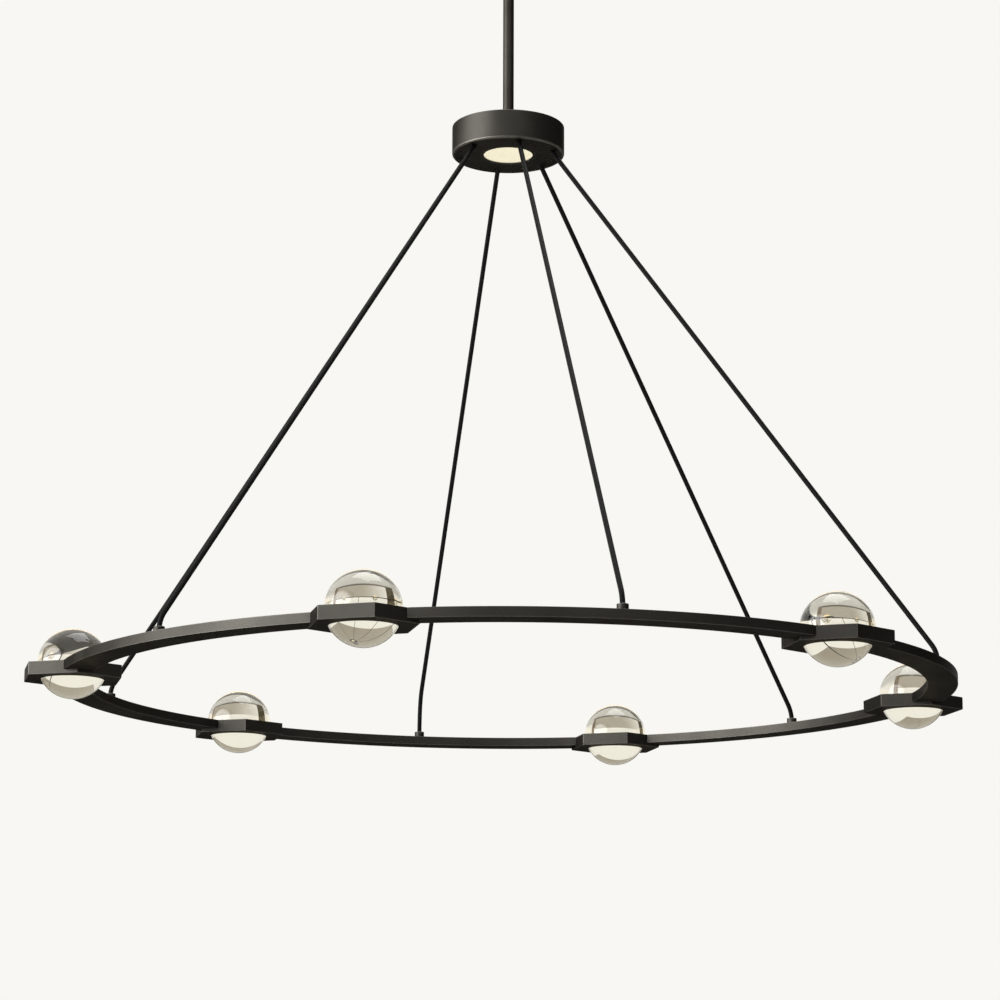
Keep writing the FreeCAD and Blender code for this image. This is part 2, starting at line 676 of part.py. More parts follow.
anchor_blanks, anchors, cable_paths = [], [], []
hole_length = size("anchor_length") * 2 + cutter * 4
for number, angle in enumerate(FOOT_ANGLES):
    name = str(number + 1)
    bend = size("cable_long_bend" if number == LONG_BEND else "cable_bend")
    slant = slant_of(bend)
    low = on_cable(angle, slant, -cutter * 2)
    plate_holes.append(cylinder("CableHole" + name, cable_radius + size("cable_hole_gap"),
                                hole_length, *low, yaw=angle, pitch=-slant))
    start = on_cable(angle, slant, Dim.of(0))
    blank = cylinder("AnchorBlank" + name, size("anchor_diameter") / 2,
                     size("anchor_length"), *start, yaw=angle, pitch=-slant)
    bore = cylinder("AnchorBore" + name, cable_radius + size("cable_gap"),
                    size("anchor_bore_end") + cutter * 2, *low, yaw=angle, pitch=-slant)
    below = cylinder("AnchorBelow" + name, size("anchor_diameter") * 2, cutter * 4,
                     start[0], start[1], plate_top - cutter * 4)
    anchors.append(cut("Anchor" + name, blank, [bore, below]))
    end = on_cable(angle, slant, size("anchor_bore_end"))
    foot = around(ring_radius, angle)
    cable_paths.append([end, foot + (foot_top + bend,),
                        foot + (foot_top - size("foot_bore_depth"),)])
group("cable_anchors", anchors)

window_radius = size("window_diameter") / 2
lens_radius = window_radius + size("lens_ledge")
bezel_bore = lens_radius + size("lens_gap")
bezel_radius = bezel_bore + size("bezel_wall")
lens_bottom = plate_bottom + size("bezel_lip")
lens_top = lens_bottom + size("lens_thickness")
board_bottom = lens_top + size("chamber_height")
board_top = board_bottom + size("board_thickness")
plate_blank = cylinder("PlateBlank", hub_bore - size("plate_gap"), size("plate_thickness"),
                       z=plate_bottom)
plate_holes.append(cylinder("PlateWindow", bezel_radius + size("lens_gap"),
                            size("plate_thickness") + 2 * cutter,
                            z=plate_bottom - cutter))
piece("hub_bottom_plate", cut("BottomPlate", plate_blank, plate_holes))

bezel = new_body("Bezel")
flange_out = bezel_radius + size("bezel_flange")
flange_up = plate_top + size("flange_thickness")
revolved(bezel, "BezelTurned", [
    (window_radius, plate_bottom), (bezel_radius, plate_bottom), (bezel_radius, plate_top),
    (flange_out, plate_top), (flange_out, flange_up), (bezel_radius, flange_up),
    (bezel_radius, board_bottom), (bezel_bore, board_bottom), (bezel_bore, lens_bottom),
    (window_radius, lens_bottom)])
piece("lens_bezel", bezel)
piece("hub_lens", cylinder("Lens", lens_radius, size("lens_thickness"), z=lens_bottom))
piece("downlight_board", cylinder("DownlightBoard", bezel_radius, size("board_thickness"),
                                  z=board_bottom))
sink_slots = []
for number in range(-3, 4):
    sink_slots.append(box("SinkSlot%d" % (number + 4), 2 * bezel_radius + cutter,
                          size("sink_slot"), size("sink_fin") + cutter,
                          y=number * size("sink_pitch"), z=board_top + size("sink_base")))
piece("downlight_heat_sink", cut("HeatSink", cylinder(
    "HeatSinkBlank", bezel_radius, size("sink_base") + size("sink_fin"), z=board_top),
    sink_slots))

for node, name, angle in (("led_driver", "driver", 0),
                          ("terminal_block", "terminal", 2 * STEP)):
    width, length = size(name + "_width"), size(name + "_length")
    reach = hub_bore - size(name + "_gap")
    x, y = around(root(reach * reach - length * length / 4) - width / 2, angle)
    piece(node, box(name.capitalize(), width, length, size(name + "_height"), x, y,
                    plate_top, angle))


def cable_solid(path, radius):
    """A tube along straight runs joined by an arc that touches both."""
    start, corner, end = [FreeCAD.Vector(*[v.number for v in point]) for point in path]
    first, last = corner - start, end - corner
    turn = first.getAngle(last)
    tangent = 0.9 * min(first.Length, last.Length)
    arc_radius = tangent / math.tan(turn / 2)
    before = corner - first.normalize() * tangent
    after = corner + last.normalize() * tangent
    inward = (last - first).normalize()
    middle = corner + inward * (arc_radius / math.cos(turn / 2) - arc_radius)
    wire = Part.Wire([Part.LineSegment(start, before).toShape(),
                      Part.Arc(before, middle, after).toShape(),
                      Part.LineSegment(after, end).toShape()])
    ring = Part.Wire([Part.Circle(start, first, radius).toShape()])
    solid = wire.makePipeShell([ring], True, False)
    expected = math.pi * radius ** 2 * wire.Length
    print("cable %.1f mm long, bend radius %.1f mm, volume %.4f of section x length"
          % (wire.Length, arc_radius, solid.Volume / expected))
    return solid


for number, path in enumerate(cable_paths):
    cable = DOCUMENT.addObject("Part::Feature", "Cable%d" % (number + 1))
    cable.Shape = cable_solid(path, cable_radius.number)
    piece("suspension_cable_%d" % (number + 1), cable)

# Ring: six hollow bars between the holders, joined to them by spigots and screws.
tube_top, tube_bottom = ring_top - ring_wall, ring_bottom + ring_wall
gap = size("spigot_gap")
full_turn = 180.0 / math.pi
spigot_angle = (holder_corner + size("spigot_reach")) / ring_radius * full_turn
screw_angle = (holder_corner + size("spigot_reach") / 2) / ring_radius * full_turn
screw_radius = size("joint_screw_diameter") / 2
feet, foot_nuts, spigots, joint_screws = [], [], [], []


def holder_prism(name, angle, past=0.0):
    """The outside of the holder at this angle, run on past its top and bottom."""
    x, y = around(ring_radius, angle)
    return hexagon(name, holder_flats, size("holder_thickness") + 2 * past, x, y,
                   ring_top - size("holder_thickness") - past, yaw=angle + 30)


def band(name, inner, outer, bottom, top, start, angle):
    """Part of a flat ring, from start through angle."""
    inner_cylinder = cylinder(name + "Inner", inner, top - bottom + 2 * cutter,
                              z=bottom - cutter)
    outer_sector = cylinder(name + "Outer", outer, top - bottom, z=bottom, angle=angle,
                            yaw=start)
    return cut(name, outer_sector, [inner_cylinder])


for number in range(ORBS):
    name = str(number + 1)
    start, end = STEP * number, STEP * (number + 1)
    middle = FOOT_ANGLES[number]
    foot_x, foot_y = around(ring_radius, middle)
    tools = [holder_prism("EndA" + name, start, cutter),
             holder_prism("EndB" + name, end, cutter),
             band("Channel" + name, ring_inner + ring_wall, ring_outer - ring_wall,
                  tube_bottom, tube_top, start, STEP),
             cylinder("FootHole" + name, size("foot_thread_diameter") / 2, ring_wall * 2,
                      foot_x, foot_y, tube_top - ring_wall / 2)]
    for tag, prism_angle, from_angle, to_screw in (
            ("A", start, Dim.of(start), start + screw_angle),
            ("B", end, end - spigot_angle, end - screw_angle)):
        sx, sy = around(ring_radius, to_screw)
        tools.append(cylinder("ScrewHole" + tag + name, screw_radius, ring_wall * 2, sx, sy,
                              tube_top - ring_wall / 2))
        blank = band("SpigotBlank" + tag + name, ring_inner + ring_wall + gap,
                     ring_outer - ring_wall - gap, tube_bottom + gap, tube_top - gap,
                     from_angle, spigot_angle)
        spigots.append(cut("Spigot" + tag + name, blank, [
            holder_prism("SpigotEnd" + tag + name, prism_angle, cutter),
            cylinder("SpigotHole" + tag + name, screw_radius, size("ring_height"), sx, sy,
                     ring_top - size("joint_screw_depth"))]))
        joint_screws.append(fuse("JointScrew" + tag + name, [
            cylinder("JointShank" + tag + name, screw_radius, size("joint_screw_depth"),
                     sx, sy, ring_top - size("joint_screw_depth")),
            cylinder("JointHead" + tag + name, size("joint_head_diameter") / 2,
                     size("joint_head_height"), sx, sy, ring_top)]))
    bar = band("Bar" + name, ring_inner, ring_outer, ring_bottom, ring_top, start, STEP)
    piece("ring_arc_" + name, cut("RingArc" + name, bar, tools))

    foot = fuse("FootSolid" + name, [
        cylinder("FootBody" + name, size("foot_diameter") / 2, size("foot_height"), foot_x,
                 foot_y, ring_top),
        cylinder("FootThread" + name, size("foot_thread_diameter") / 2,
                 size("foot_thread_length"), foot_x, foot_y,
                 ring_top - size("foot_thread_length"))])
    feet.append(cut("Foot" + name, foot, [cylinder(
        "FootBore" + name, cable_radius + size("cable_gap"), size("foot_bore_depth") + cutter,
        foot_x, foot_y, foot_top - size("foot_bore_depth"))]))
    foot_nuts.append(cut("FootNut" + name, hexagon(
        "FootNutBlank" + name, size("foot_nut_flats"), size("foot_nut_height"), foot_x,
        foot_y, tube_top - size("foot_nut_height"), yaw=middle), [cylinder(
            "FootNutBore" + name, size("foot_thread_diameter") / 2,
            size("foot_nut_height") + 2 * cutter, foot_x, foot_y,
            tube_top - size("foot_nut_height") - cutter)]))
group("cable_feet", feet)
group("cable_foot_nuts", foot_nuts)
group("ring_spigots", spigots)
group("ring_joint_screws", joint_screws)

# Holders, the lights in them and the orbs that rest in them.
light_bottom = pocket_floor + size("board_thickness")
boards = []
for number in range(ORBS):
    name = str(number + 1)
    angle = STEP * number
    x, y = around(ring_radius, angle)
    piece("orb_holder_" + name, cut("Holder" + name, holder_prism("HolderBlank" + name, angle), [
        sphere("Seat" + name, orb_radius + size("seat_gap"), x, y, orb_height),
        cylinder("Pocket" + name, pocket_radius, size("pocket_depth") + cutter, x, y,
                 pocket_floor)]))
    boards.append(cut("OrbBoard" + name, cylinder(
        "OrbBoardBlank" + name, light_outer, size("board_thickness"), x, y, pocket_floor),
        [cylinder("OrbBoardBore" + name, light_inner,
                  size("board_thickness") + 2 * cutter, x, y, pocket_floor - cutter)]))
    piece("orb_light_ring_" + name, cut("LightRing" + name, cylinder(
        "LightRingBlank" + name, light_outer, ring_top - light_bottom, x, y, light_bottom),
        [cylinder("LightRingBore" + name, light_inner,
                  size("pocket_depth") + 2 * cutter, x, y, light_bottom - cutter)]))
    piece("glass_orb_" + name, sphere("Orb" + name, orb_radius, x, y, orb_height))
group("orb_led_boards", boards)

DOCUMENT.recompute()
for thing in DOCUMENT.Objects:
    bad = [word for word in thing.State if word in ("Invalid", "Error")]
    if bad:
        raise RuntimeError("%s failed: %s" % (thing.Label, thing.State))
for node, thing in PIECES.items():
    shape = thing.Shape
    if shape.isNull() or not shape.isValid() or not shape.Solids:
        raise RuntimeError("%s has no valid shape" % node)

os.makedirs("parts", exist_ok=True)
for node, thing in PIECES.items():
    thing.Shape.exportStep("parts/%s.step" % node)
    print("%-22s %2d solid(s) %12.1f mm3" % (node, len(thing.Shape.Solids),
                                            thing.Shape.Volume))
print("%d nodes" % len(PIECES))
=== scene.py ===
"""Ring chandelier with six clear glass orbs: the parts a buyer sees, their finishes and a
plain pale studio. Run as a script; the panel lists the same steps for use by hand."""
import math

import bmesh
import bpy
from bpy.props import FloatProperty, FloatVectorProperty, IntProperty, PointerProperty
from mathutils import Matrix, Vector


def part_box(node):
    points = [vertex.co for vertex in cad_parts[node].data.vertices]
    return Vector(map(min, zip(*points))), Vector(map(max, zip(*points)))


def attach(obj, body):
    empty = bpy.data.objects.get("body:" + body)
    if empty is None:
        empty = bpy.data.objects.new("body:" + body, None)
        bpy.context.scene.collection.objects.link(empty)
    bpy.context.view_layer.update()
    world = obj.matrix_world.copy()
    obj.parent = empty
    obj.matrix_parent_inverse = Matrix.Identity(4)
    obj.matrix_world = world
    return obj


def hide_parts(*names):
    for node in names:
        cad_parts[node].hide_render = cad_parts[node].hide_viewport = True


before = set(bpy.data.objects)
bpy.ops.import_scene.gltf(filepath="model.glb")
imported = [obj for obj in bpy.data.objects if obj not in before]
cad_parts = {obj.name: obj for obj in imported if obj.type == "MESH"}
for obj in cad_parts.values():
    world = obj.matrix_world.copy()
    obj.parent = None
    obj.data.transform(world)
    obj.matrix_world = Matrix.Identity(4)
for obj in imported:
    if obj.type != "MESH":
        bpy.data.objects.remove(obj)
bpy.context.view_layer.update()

bl_info = {
    "name": "Ring chandelier",
    "version": (1, 0, 0),
    "blender": (4, 5, 0),
    "location": "View3D > Sidebar > Chandelier",
    "description": "Dresses a ring chandelier with glass orbs in hexagonal holders",
    "category": "Object",
}

ORBS = 6
STEP = math.radians(360 / ORBS)
UP = Vector((0, 0, 1))


def box_of(node):
    """Centre and size of a solid at rest."""
    low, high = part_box(node)
    return (low + high) / 2, high - low


ORB_CENTRE, ORB_SIZE = box_of("glass_orb_1")
HOLDER_CENTRE, HOLDER_SIZE = box_of("orb_holder_1")
HUB_SIZE = box_of("hub_housing")[1]
STEM_SIZE = box_of("stem")[1]
LENS_SIZE = box_of("hub_lens")[1]
CANOPY_SIZE = box_of("canopy_cover")[1]
RING_RADIUS = ORB_CENTRE.x
STUD_X = 0.060      # canopy studs, out from the middle
NARROW = 0.0003     # area over perimeter of a face below which it counts as an edge
# Slots whose rounded edges are painted lighter, partly as wear and partly as a painted
# highlight.
EDGE_WORN_AND_LIT = ("dark_metal", "black_screw")


# Sizes and colours that a user would change.

class HangingSettings(bpy.types.PropertyGroup):
    """Hub, stem, ring and cables."""

    ring_width: FloatProperty(
        name="Ring width", description="Ring bar, across", default=0.042,
        min=0.01, unit="LENGTH", subtype="DISTANCE")
    ring_height: FloatProperty(
        name="Ring height", description="Ring bar, up and down", default=0.013,
        min=0.004, unit="LENGTH", subtype="DISTANCE")
    cable_diameter: FloatProperty(
        name="Cable diameter", description="Suspension cable with its jacket",
        default=0.007, min=0.001, unit="LENGTH", subtype="DISTANCE")
    edge_radius: FloatProperty(
        name="Edge radius", description="Softened edges of the machined metal parts",
        default=0.0006, min=0.0001, unit="LENGTH", subtype="DISTANCE")
    hub_wall: FloatProperty(
        name="Hub wall", description="Side wall of the hub", default=0.0035,
        min=0.001, unit="LENGTH", subtype="DISTANCE")
    hub_rounding: FloatProperty(
        name="Hub rounding", description="Bottom edge of the hub", default=0.003,
        min=0.0005, unit="LENGTH", subtype="DISTANCE")
    metal_colour: FloatVectorProperty(
        name="Metal", description="Blackened bronze of the metal parts", size=3,
        default=(0.055, 0.052, 0.046), min=0, max=1, subtype="COLOR")


class OrbSettings(bpy.types.PropertyGroup):
    """Glass orbs, their seats and lights."""

    seat_gap: FloatProperty(
        name="Seat gap", description="Clearance of an orb in its seat", default=0.0003,
        min=0.0, unit="LENGTH", subtype="DISTANCE")
    pocket_radius: FloatProperty(
        name="Pocket radius", description="Pocket for the orb light", default=0.057,
        min=0.02, unit="LENGTH", subtype="DISTANCE")
    pocket_depth: FloatProperty(
        name="Pocket depth", description="Depth of that pocket", default=0.0115,
        min=0.002, unit="LENGTH", subtype="DISTANCE")
    smoothness: IntProperty(
        name="Smoothness", description="Subdivision steps of an orb", default=5,
        min=2, max=6)
    glass_colour: FloatVectorProperty(
        name="Glass", description="Pale champagne tint of the glass", size=3,
        default=(0.93, 0.90, 0.79), min=0, max=1, subtype="COLOR")
    light_colour: FloatVectorProperty(
        name="Light", description="Warm light of the LEDs", size=3,
        default=(1.0, 0.84, 0.60), min=0, max=1, subtype="COLOR")


class StudioSettings(bpy.types.PropertyGroup):
    """Floor, lamps and background."""

    background: FloatVectorProperty(
        name="Background", description="Pale studio background", size=3,
        default=(0.939, 0.930, 0.896), min=0, max=1, subtype="COLOR")
    floor_drop: FloatProperty(
        name="Floor", description="Ceiling to the floor", default=2.75, min=1.3,
        unit="LENGTH", subtype="DISTANCE")


# Small helpers for modelling by operator.

def deselect():
    """Leaves edit mode with nothing selected."""
    if bpy.context.mode != "OBJECT":
        bpy.ops.object.mode_set(mode="OBJECT")
    bpy.ops.object.select_all(action="DESELECT")


def only(thing):
    """Makes this the one selected, active object."""
    deselect()
    thing.select_set(True)
    bpy.context.view_layer.objects.active = thing
    return thing


def added(name):
    """Names the object that an operator has just added."""
    thing = bpy.context.object
    thing.name = name
    thing.data.name = name
    return only(thing)


def open_edit(kind):
    """Opens the active mesh to edit its faces, edges or verts, with none selected."""
    bpy.ops.object.mode_set(mode="EDIT")
    bpy.ops.mesh.select_mode(type=kind)
    bpy.ops.mesh.select_all(action="DESELECT")


def pick(kind, test):
    """Selects the faces, edges or verts of the open mesh that pass the test."""
    thing = bpy.context.object
    mesh = bmesh.from_edit_mesh(thing.data)
    bpy.ops.mesh.select_all(action="DESELECT")
    count = 0
    for item in getattr(mesh, kind):
        if test(item):
            item.select_set(True)
            count += 1
    mesh.select_flush_mode()
    bmesh.update_edit_mesh(thing.data)
    if not count:
        raise RuntimeError("%s: nothing to select among its %s" % (thing.name, kind))


def middle(face):
    return face.calc_center_median()


def edge_middle(edge):
    return (edge.verts[0].co + edge.verts[1].co) / 2


def near(value, wanted, slack=2e-5):
    return abs(value - wanted) < slack


def faces_up(face):
    return face.normal.z > 0.9


def faces_down(face):
    return face.normal.z < -0.9


def faces_sideways(face):
    return abs(face.normal.z) < 0.1


def is_disc(face):
    """A level face with many corners, as at the end of a cylinder or of a bore."""
    return abs(face.normal.z) > 0.9 and len(face.verts) > 8


def inset(thickness):
    """Insets the selected faces together."""
    bpy.ops.mesh.inset(thickness=thickness, use_even_offset=True)


def extrude(height):
    """Extrudes what is selected straight up, or down if the height is negative."""
    bpy.ops.mesh.extrude_region_move(TRANSFORM_OT_translate={"value": (0, 0, height)})


def bevel(offset, segments):
    """Rounds the selected edges."""
    bpy.ops.mesh.bevel(offset=offset, segments=segments, profile=0.5)


def round_circle(height, radius, offset, segments):
    """Rounds the circle of edges at this height and radius of the open mesh."""
    pick("edges", lambda e: near(edge_middle(e).z, height)
         and near(edge_middle(e).xy.length, radius, 0.0002))
    bevel(offset, segments)


def close_edit():
    """Turns the open mesh's normals outwards and leaves edit mode."""
    bpy.ops.mesh.select_all(action="SELECT")
    bpy.ops.mesh.normals_make_consistent(inside=False)
    bpy.ops.object.mode_set(mode="OBJECT")


def modifier(thing, kind, **settings):
    """Adds a modifier and applies it."""
    only(thing)
    made = thing.modifiers.new(kind.title(), kind)
    for key, value in settings.items():
        setattr(made, key, value)
    bpy.ops.object.modifier_apply(modifier=made.name)


def settle(thing):
    """Moves the object's place into its mesh."""
    only(thing)
    bpy.ops.object.transform_apply(location=True, rotation=True, scale=True)


def cylinder(name, radius, bottom, top, sides, place=(0, 0)):
    """A closed upright cylinder."""
    bpy.ops.mesh.primitive_cylinder_add(
        vertices=sides, radius=radius, depth=top - bottom, end_fill_type="NGON",
        location=(place[0], place[1], (top + bottom) / 2))
    made = added(name)
    settle(made)
    return made


def turned_tube(name, outer, inner, bottom, top, sides):
    """A tube about the vertical axis, from one cylinder whose ends are opened through."""
    tube = cylinder(name, outer, bottom, top, sides)
    open_edit("FACE")
    pick("faces", is_disc)
    inset(outer - inner)
    bpy.ops.mesh.bridge_edge_loops()
    close_edit()
    return tube


def hexagon_prism(name, flats, bottom, top, centre):
    """A hexagonal prism whose corners point along Y."""
    return cylinder(name, flats / 2 / math.cos(math.radians(30)), bottom, top, 6,
                    (centre.x, centre.y))


def soften(thing, width, segments=2, angle=30):
    """Bevels the sharp edges and shades the rest smooth."""
    modifier(thing, "BEVEL", width=width, segments=segments, limit_method="ANGLE",
             angle_limit=math.radians(angle), use_clamp_overlap=True)
    smooth(thing, angle)


def smooth(thing, angle=30):
    """Shades smooth, except where faces meet at more than this angle."""
    only(thing)
    bpy.ops.object.shade_smooth_by_angle(angle=math.radians(angle))


def join_doubles(thing):
    """Opens the mesh and joins its doubled points."""
    only(thing)
    bpy.ops.object.mode_set(mode="EDIT")
    bpy.ops.mesh.select_all(action="SELECT")
    bpy.ops.mesh.remove_doubles(threshold=1e-6)


def carve(thing, tool):
    """Cuts the tool out of the thing and removes the tool."""
    modifier(thing, "BOOLEAN", object=tool, operation="DIFFERENCE", solver="EXACT")
    bpy.data.objects.remove(tool, do_unlink=True)


def copy_turned(thing, name, angle):
    """A copy with its own mesh, turned about the chandelier's axis."""
    mesh = thing.data.copy()
    mesh.name = name
    made = bpy.data.objects.new(name, mesh)
    bpy.context.scene.collection.objects.link(made)
    mesh.transform(Matrix.Rotation(angle, 4, "Z"))
    return made


def mark_edges(thing):
    """Marks the narrow faces of the softened edges, painted lighter: partly wear, partly a
    painted highlight on the rounded edges.
    """
    shape = bmesh.new()
    shape.from_mesh(thing.data)
    wear_and_highlight = shape.faces.layers.float.new("edge_wear")
    for face in shape.faces:
        face[wear_and_highlight] = float(face.calc_area() < NARROW * face.calc_perimeter())
    shape.to_mesh(thing.data)
    shape.free()


def dress(thing, body, solid, slot):
    """Finishes a piece and hangs it on its body in place of its solid."""
    # Painted lighter edges: partly wear, partly a painted highlight.
    if slot in EDGE_WORN_AND_LIT:
        mark_edges(thing)
    if thing.type == "MESH" and slot != "clear_glass":
        modifier(thing, "WEIGHTED_NORMAL", weight=100, keep_sharp=True)
    thing.data.materials.clear()
    thing.data.materials.append(finish(slot))
    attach(thing, body)
    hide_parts(solid)


def dress_all_round(first, name, solid, slot, body="hanging_frame"):
    """Repeats a piece at each orb. A # in a name stands for the number of the orb."""
    for number in range(ORBS):
        label = str(number + 1)
        made = first
        if number:
            made = copy_turned(first, name.replace("#", label), STEP * number)
        dress(made, body.replace("#", label), solid.replace("#", label), slot)


def dress_copies(pattern, name, places, solid, slot, body="hanging_frame"):
    """Repeats a piece at each place and removes the pattern."""
    for number, place in enumerate(places, start=1):
        made = copy_turned(pattern, "%s_%d" % (name, number), 0)
        made.data.transform(place)
        dress(made, body, solid, slot)
    bpy.data.objects.remove(pattern, do_unlink=True)


def paint(solid, material):
    """Gives its finish to a solid that stays."""
    if not solid.material_slots:
        solid.data.materials.append(material)
    for place in solid.material_slots:
        place.material = material


# Shader node groups.

SOCKETS = {1: "NodeSocketFloat", 3: "NodeSocketVector", 4: "NodeSocketColor"}
MIX_SHARE, MIX_LOW, MIX_HIGH = 0, 6, 7      # inputs of a mix of two colours
MIX_COLOUR = 2                              # its output


def new_group(name, *inputs):
    """A shader node group with these inputs, and a colour, a roughness and a height."""
    group = bpy.data.node_groups.new(name, "ShaderNodeTree")
    for label, default in inputs:
        numbers = len(default) if isinstance(default, tuple) else 1
        made = group.interface.new_socket(name=label, in_out="INPUT",
                                          socket_type=SOCKETS[numbers])
        made.default_value = default
    for label, kind in (("Color", "NodeSocketColor"), ("Roughness", "NodeSocketFloat"),
                        ("Height", "NodeSocketFloat")):
        group.interface.new_socket(name=label, in_out="OUTPUT", socket_type=kind)
    return group, group.nodes.new("NodeGroupInput"), group.nodes.new("NodeGroupOutput")


def node(tree, kind, **settings):
    """A node with these settings and input values."""
    made = tree.nodes.new(kind)
    for key, value in settings.items():
        if key in made.inputs:
            made.inputs[key].default_value = value
        else:
            setattr(made, key, value)
    return made


def linked(tree, kind, sources, **settings):
    """A node whose first inputs come from these sockets."""
    made = node(tree, kind, **settings)
    for index, source in enumerate(sources):
        tree.links.new(source, made.inputs[index])
    return made


def ramp(tree, source, span, **settings):
    """Maps a value from this span to one from 0 to 1."""
    made = linked(tree, "ShaderNodeMapRange", (source,), **settings)
    made.inputs["From Min"].default_value = span[0]
    made.inputs["From Max"].default_value = span[1]
    return made


def mixed(tree, share, low, high):
    """The low colour where the share is 0, the high one where it is 1."""
    made = node(tree, "ShaderNodeMix", data_type="RGBA")
    for index, source in ((MIX_SHARE, share), (MIX_LOW, low), (MIX_HIGH, high)):
        tree.links.new(source, made.inputs[index])
    return made.outputs[MIX_COLOUR]


def noise(tree, vector, scale, detail, roughness):
    """Noise at these places, to this scale."""
    made = linked(tree, "ShaderNodeTexNoise", (vector,), Detail=detail,
                  Roughness=roughness)
    tree.links.new(scale, made.inputs["Scale"])
    return made.outputs["Fac"]


def give(group, given, out, colour, height, span=(0.0, 1.0)):
    """Sends the colour and the height out, with a roughness that follows the height."""
    rough = ramp(group, height, span)
    group.links.new(given.outputs["Roughness Low"], rough.inputs["To Min"])
    group.links.new(given.outputs["Roughness High"], rough.inputs["To Max"])
    group.links.new(colour, out.inputs["Color"])
    group.links.new(rough.outputs[0], out.inputs["Roughness"])
    group.links.new(height, out.inputs["Height"])
    return group


def math_node(tree, operation, first, second):
    """The result of a sum on two sockets or numbers."""
    made = tree.nodes.new("ShaderNodeMath")
    made.operation = operation
    for index, value in enumerate((first, second)):
        if isinstance(value, (int, float)):
            made.inputs[index].default_value = value
        else:
            tree.links.new(value, made.inputs[index])
    return made.outputs[0]


def patina_group():
    """Hand-blackened bronze: soft clouds, fine mottling and lighter edges, partly wear and
    partly a painted highlight.
    """
    group, given, out = new_group(
        "Patina", ("Dark", (0.03, 0.028, 0.025, 1)), ("Light", (0.06, 0.055, 0.048, 1)),
        ("Edge", (0.12, 0.105, 0.085, 1)), ("Cloud Scale", 14.0), ("Grain Scale", 900.0),
        ("Edge Wear", 0.35), ("Roughness Low", 0.34), ("Roughness High", 0.46))
    place = node(group, "ShaderNodeTexCoord").outputs["Object"]
    clouds = noise(group, place, given.outputs["Cloud Scale"], 4.0, 0.6)
    grain = noise(group, place, given.outputs["Grain Scale"], 2.0, 0.5)
    clouded = mixed(group, ramp(group, clouds, (0.35, 0.65)).outputs[0],
                    given.outputs["Dark"], given.outputs["Light"])
    # The marked edges are painted lighter: partly wear, partly a painted highlight of the
    # rounded edges.
    edge = node(group, "ShaderNodeAttribute", attribute_name="edge_wear")
    patches = ramp(group, clouds, (0.3, 0.5))
    patches.inputs["To Min"].default_value = 0.5
    worn_and_lit = math_node(group, "MULTIPLY", edge.outputs["Fac"], given.outputs["Edge Wear"])
    broken = math_node(group, "MULTIPLY", worn_and_lit, patches.outputs[0])
    colour = mixed(group, broken, clouded, given.outputs["Edge"])
    return give(group, given, out, colour, grain, (0.3, 0.7))


def grain_group():
    """Fine lines along one direction, as on brushed or drawn metal."""
    group, given, out = new_group(
        "Brushed Grain", ("Dark", (0.5, 0.5, 0.5, 1)), ("Light", (0.7, 0.7, 0.7, 1)),
        ("Scale", 60.0), ("Stretch", (1.0, 1.0, 30.0)), ("Roughness Low", 0.25),
        ("Roughness High", 0.45))
    place = node(group, "ShaderNodeTexCoord").outputs["Object"]
    stretch = linked(group, "ShaderNodeVectorMath", (place, given.outputs["Stretch"]),
                     operation="MULTIPLY")
    lines = noise(group, stretch.outputs[0], given.outputs["Scale"], 3.0, 0.7)
    colour = mixed(group, lines, given.outputs["Dark"], given.outputs["Light"])
    return give(group, given, out, colour, lines)


def speckle_group():
    """Even fine texture of moulded plastic, rubber or paint."""
    group, given, out = new_group(
        "Moulded Texture", ("Dark", (0.5, 0.5, 0.5, 1)), ("Light", (0.6, 0.6, 0.6, 1)),
        ("Scale", 600.0), ("Roughness Low", 0.4), ("Roughness High", 0.55))
    place = node(group, "ShaderNodeTexCoord").outputs["Object"]
    dots = noise(group, place, given.outputs["Scale"], 2.0, 0.5)
    colour = mixed(group, dots, given.outputs["Dark"], given.outputs["Light"])
    return give(group, given, out, colour, dots)


GROUPS = {}


def effect(name):
    """The shared node group of this name, built once."""
    makers = {"Patina": patina_group, "Brushed Grain": grain_group,
              "Moulded Texture": speckle_group}
    if name not in GROUPS:
        GROUPS[name] = makers[name]()
    return GROUPS[name]


def new_material(name):
    """A new material, its nodes and its main shader."""
    material = bpy.data.materials.new(name)
    material.use_nodes = True
    tree = material.node_tree
    return material, tree, tree.nodes["Principled BSDF"]


def glowing(name):
    """A new material that only glows, with its nodes and its emission shader."""
    material, tree, principled = new_material(name)
    tree.nodes.remove(principled)
    glow = node(tree, "ShaderNodeEmission")
    tree.links.new(glow.outputs[0], tree.nodes["Material Output"].inputs["Surface"])
    return material, tree, glow


def textured(tree, principled, group, values):
    """Gives the shader its colour from a shared group with these values."""
    texture = tree.nodes.new("ShaderNodeGroup")
    texture.node_tree = effect(group)
    for key, value in values.items():
        texture.inputs[key].default_value = value
    tree.links.new(texture.outputs["Color"], principled.inputs["Base Color"])
    return texture


def surfaced(name, group, values, bump, shader):
    """A material whose colour, roughness and bump come from one shared group."""
    material, tree, principled = new_material(name)
    texture = textured(tree, principled, group, values)
    tree.links.new(texture.outputs["Roughness"], principled.inputs["Roughness"])
    raised = node(tree, "ShaderNodeBump", Strength=bump[0], Distance=bump[1])
    tree.links.new(texture.outputs["Height"], raised.inputs["Height"])
    tree.links.new(raised.outputs["Normal"], principled.inputs["Normal"])
    for key, value in shader.items():
        principled.inputs[key].default_value = value
    return material


def shade(colour, factor):
    """A lighter or darker tone of a colour, opaque."""
    return tuple(min(1.0, c * factor) for c in colour) + (1.0,)


MATERIALS = {}


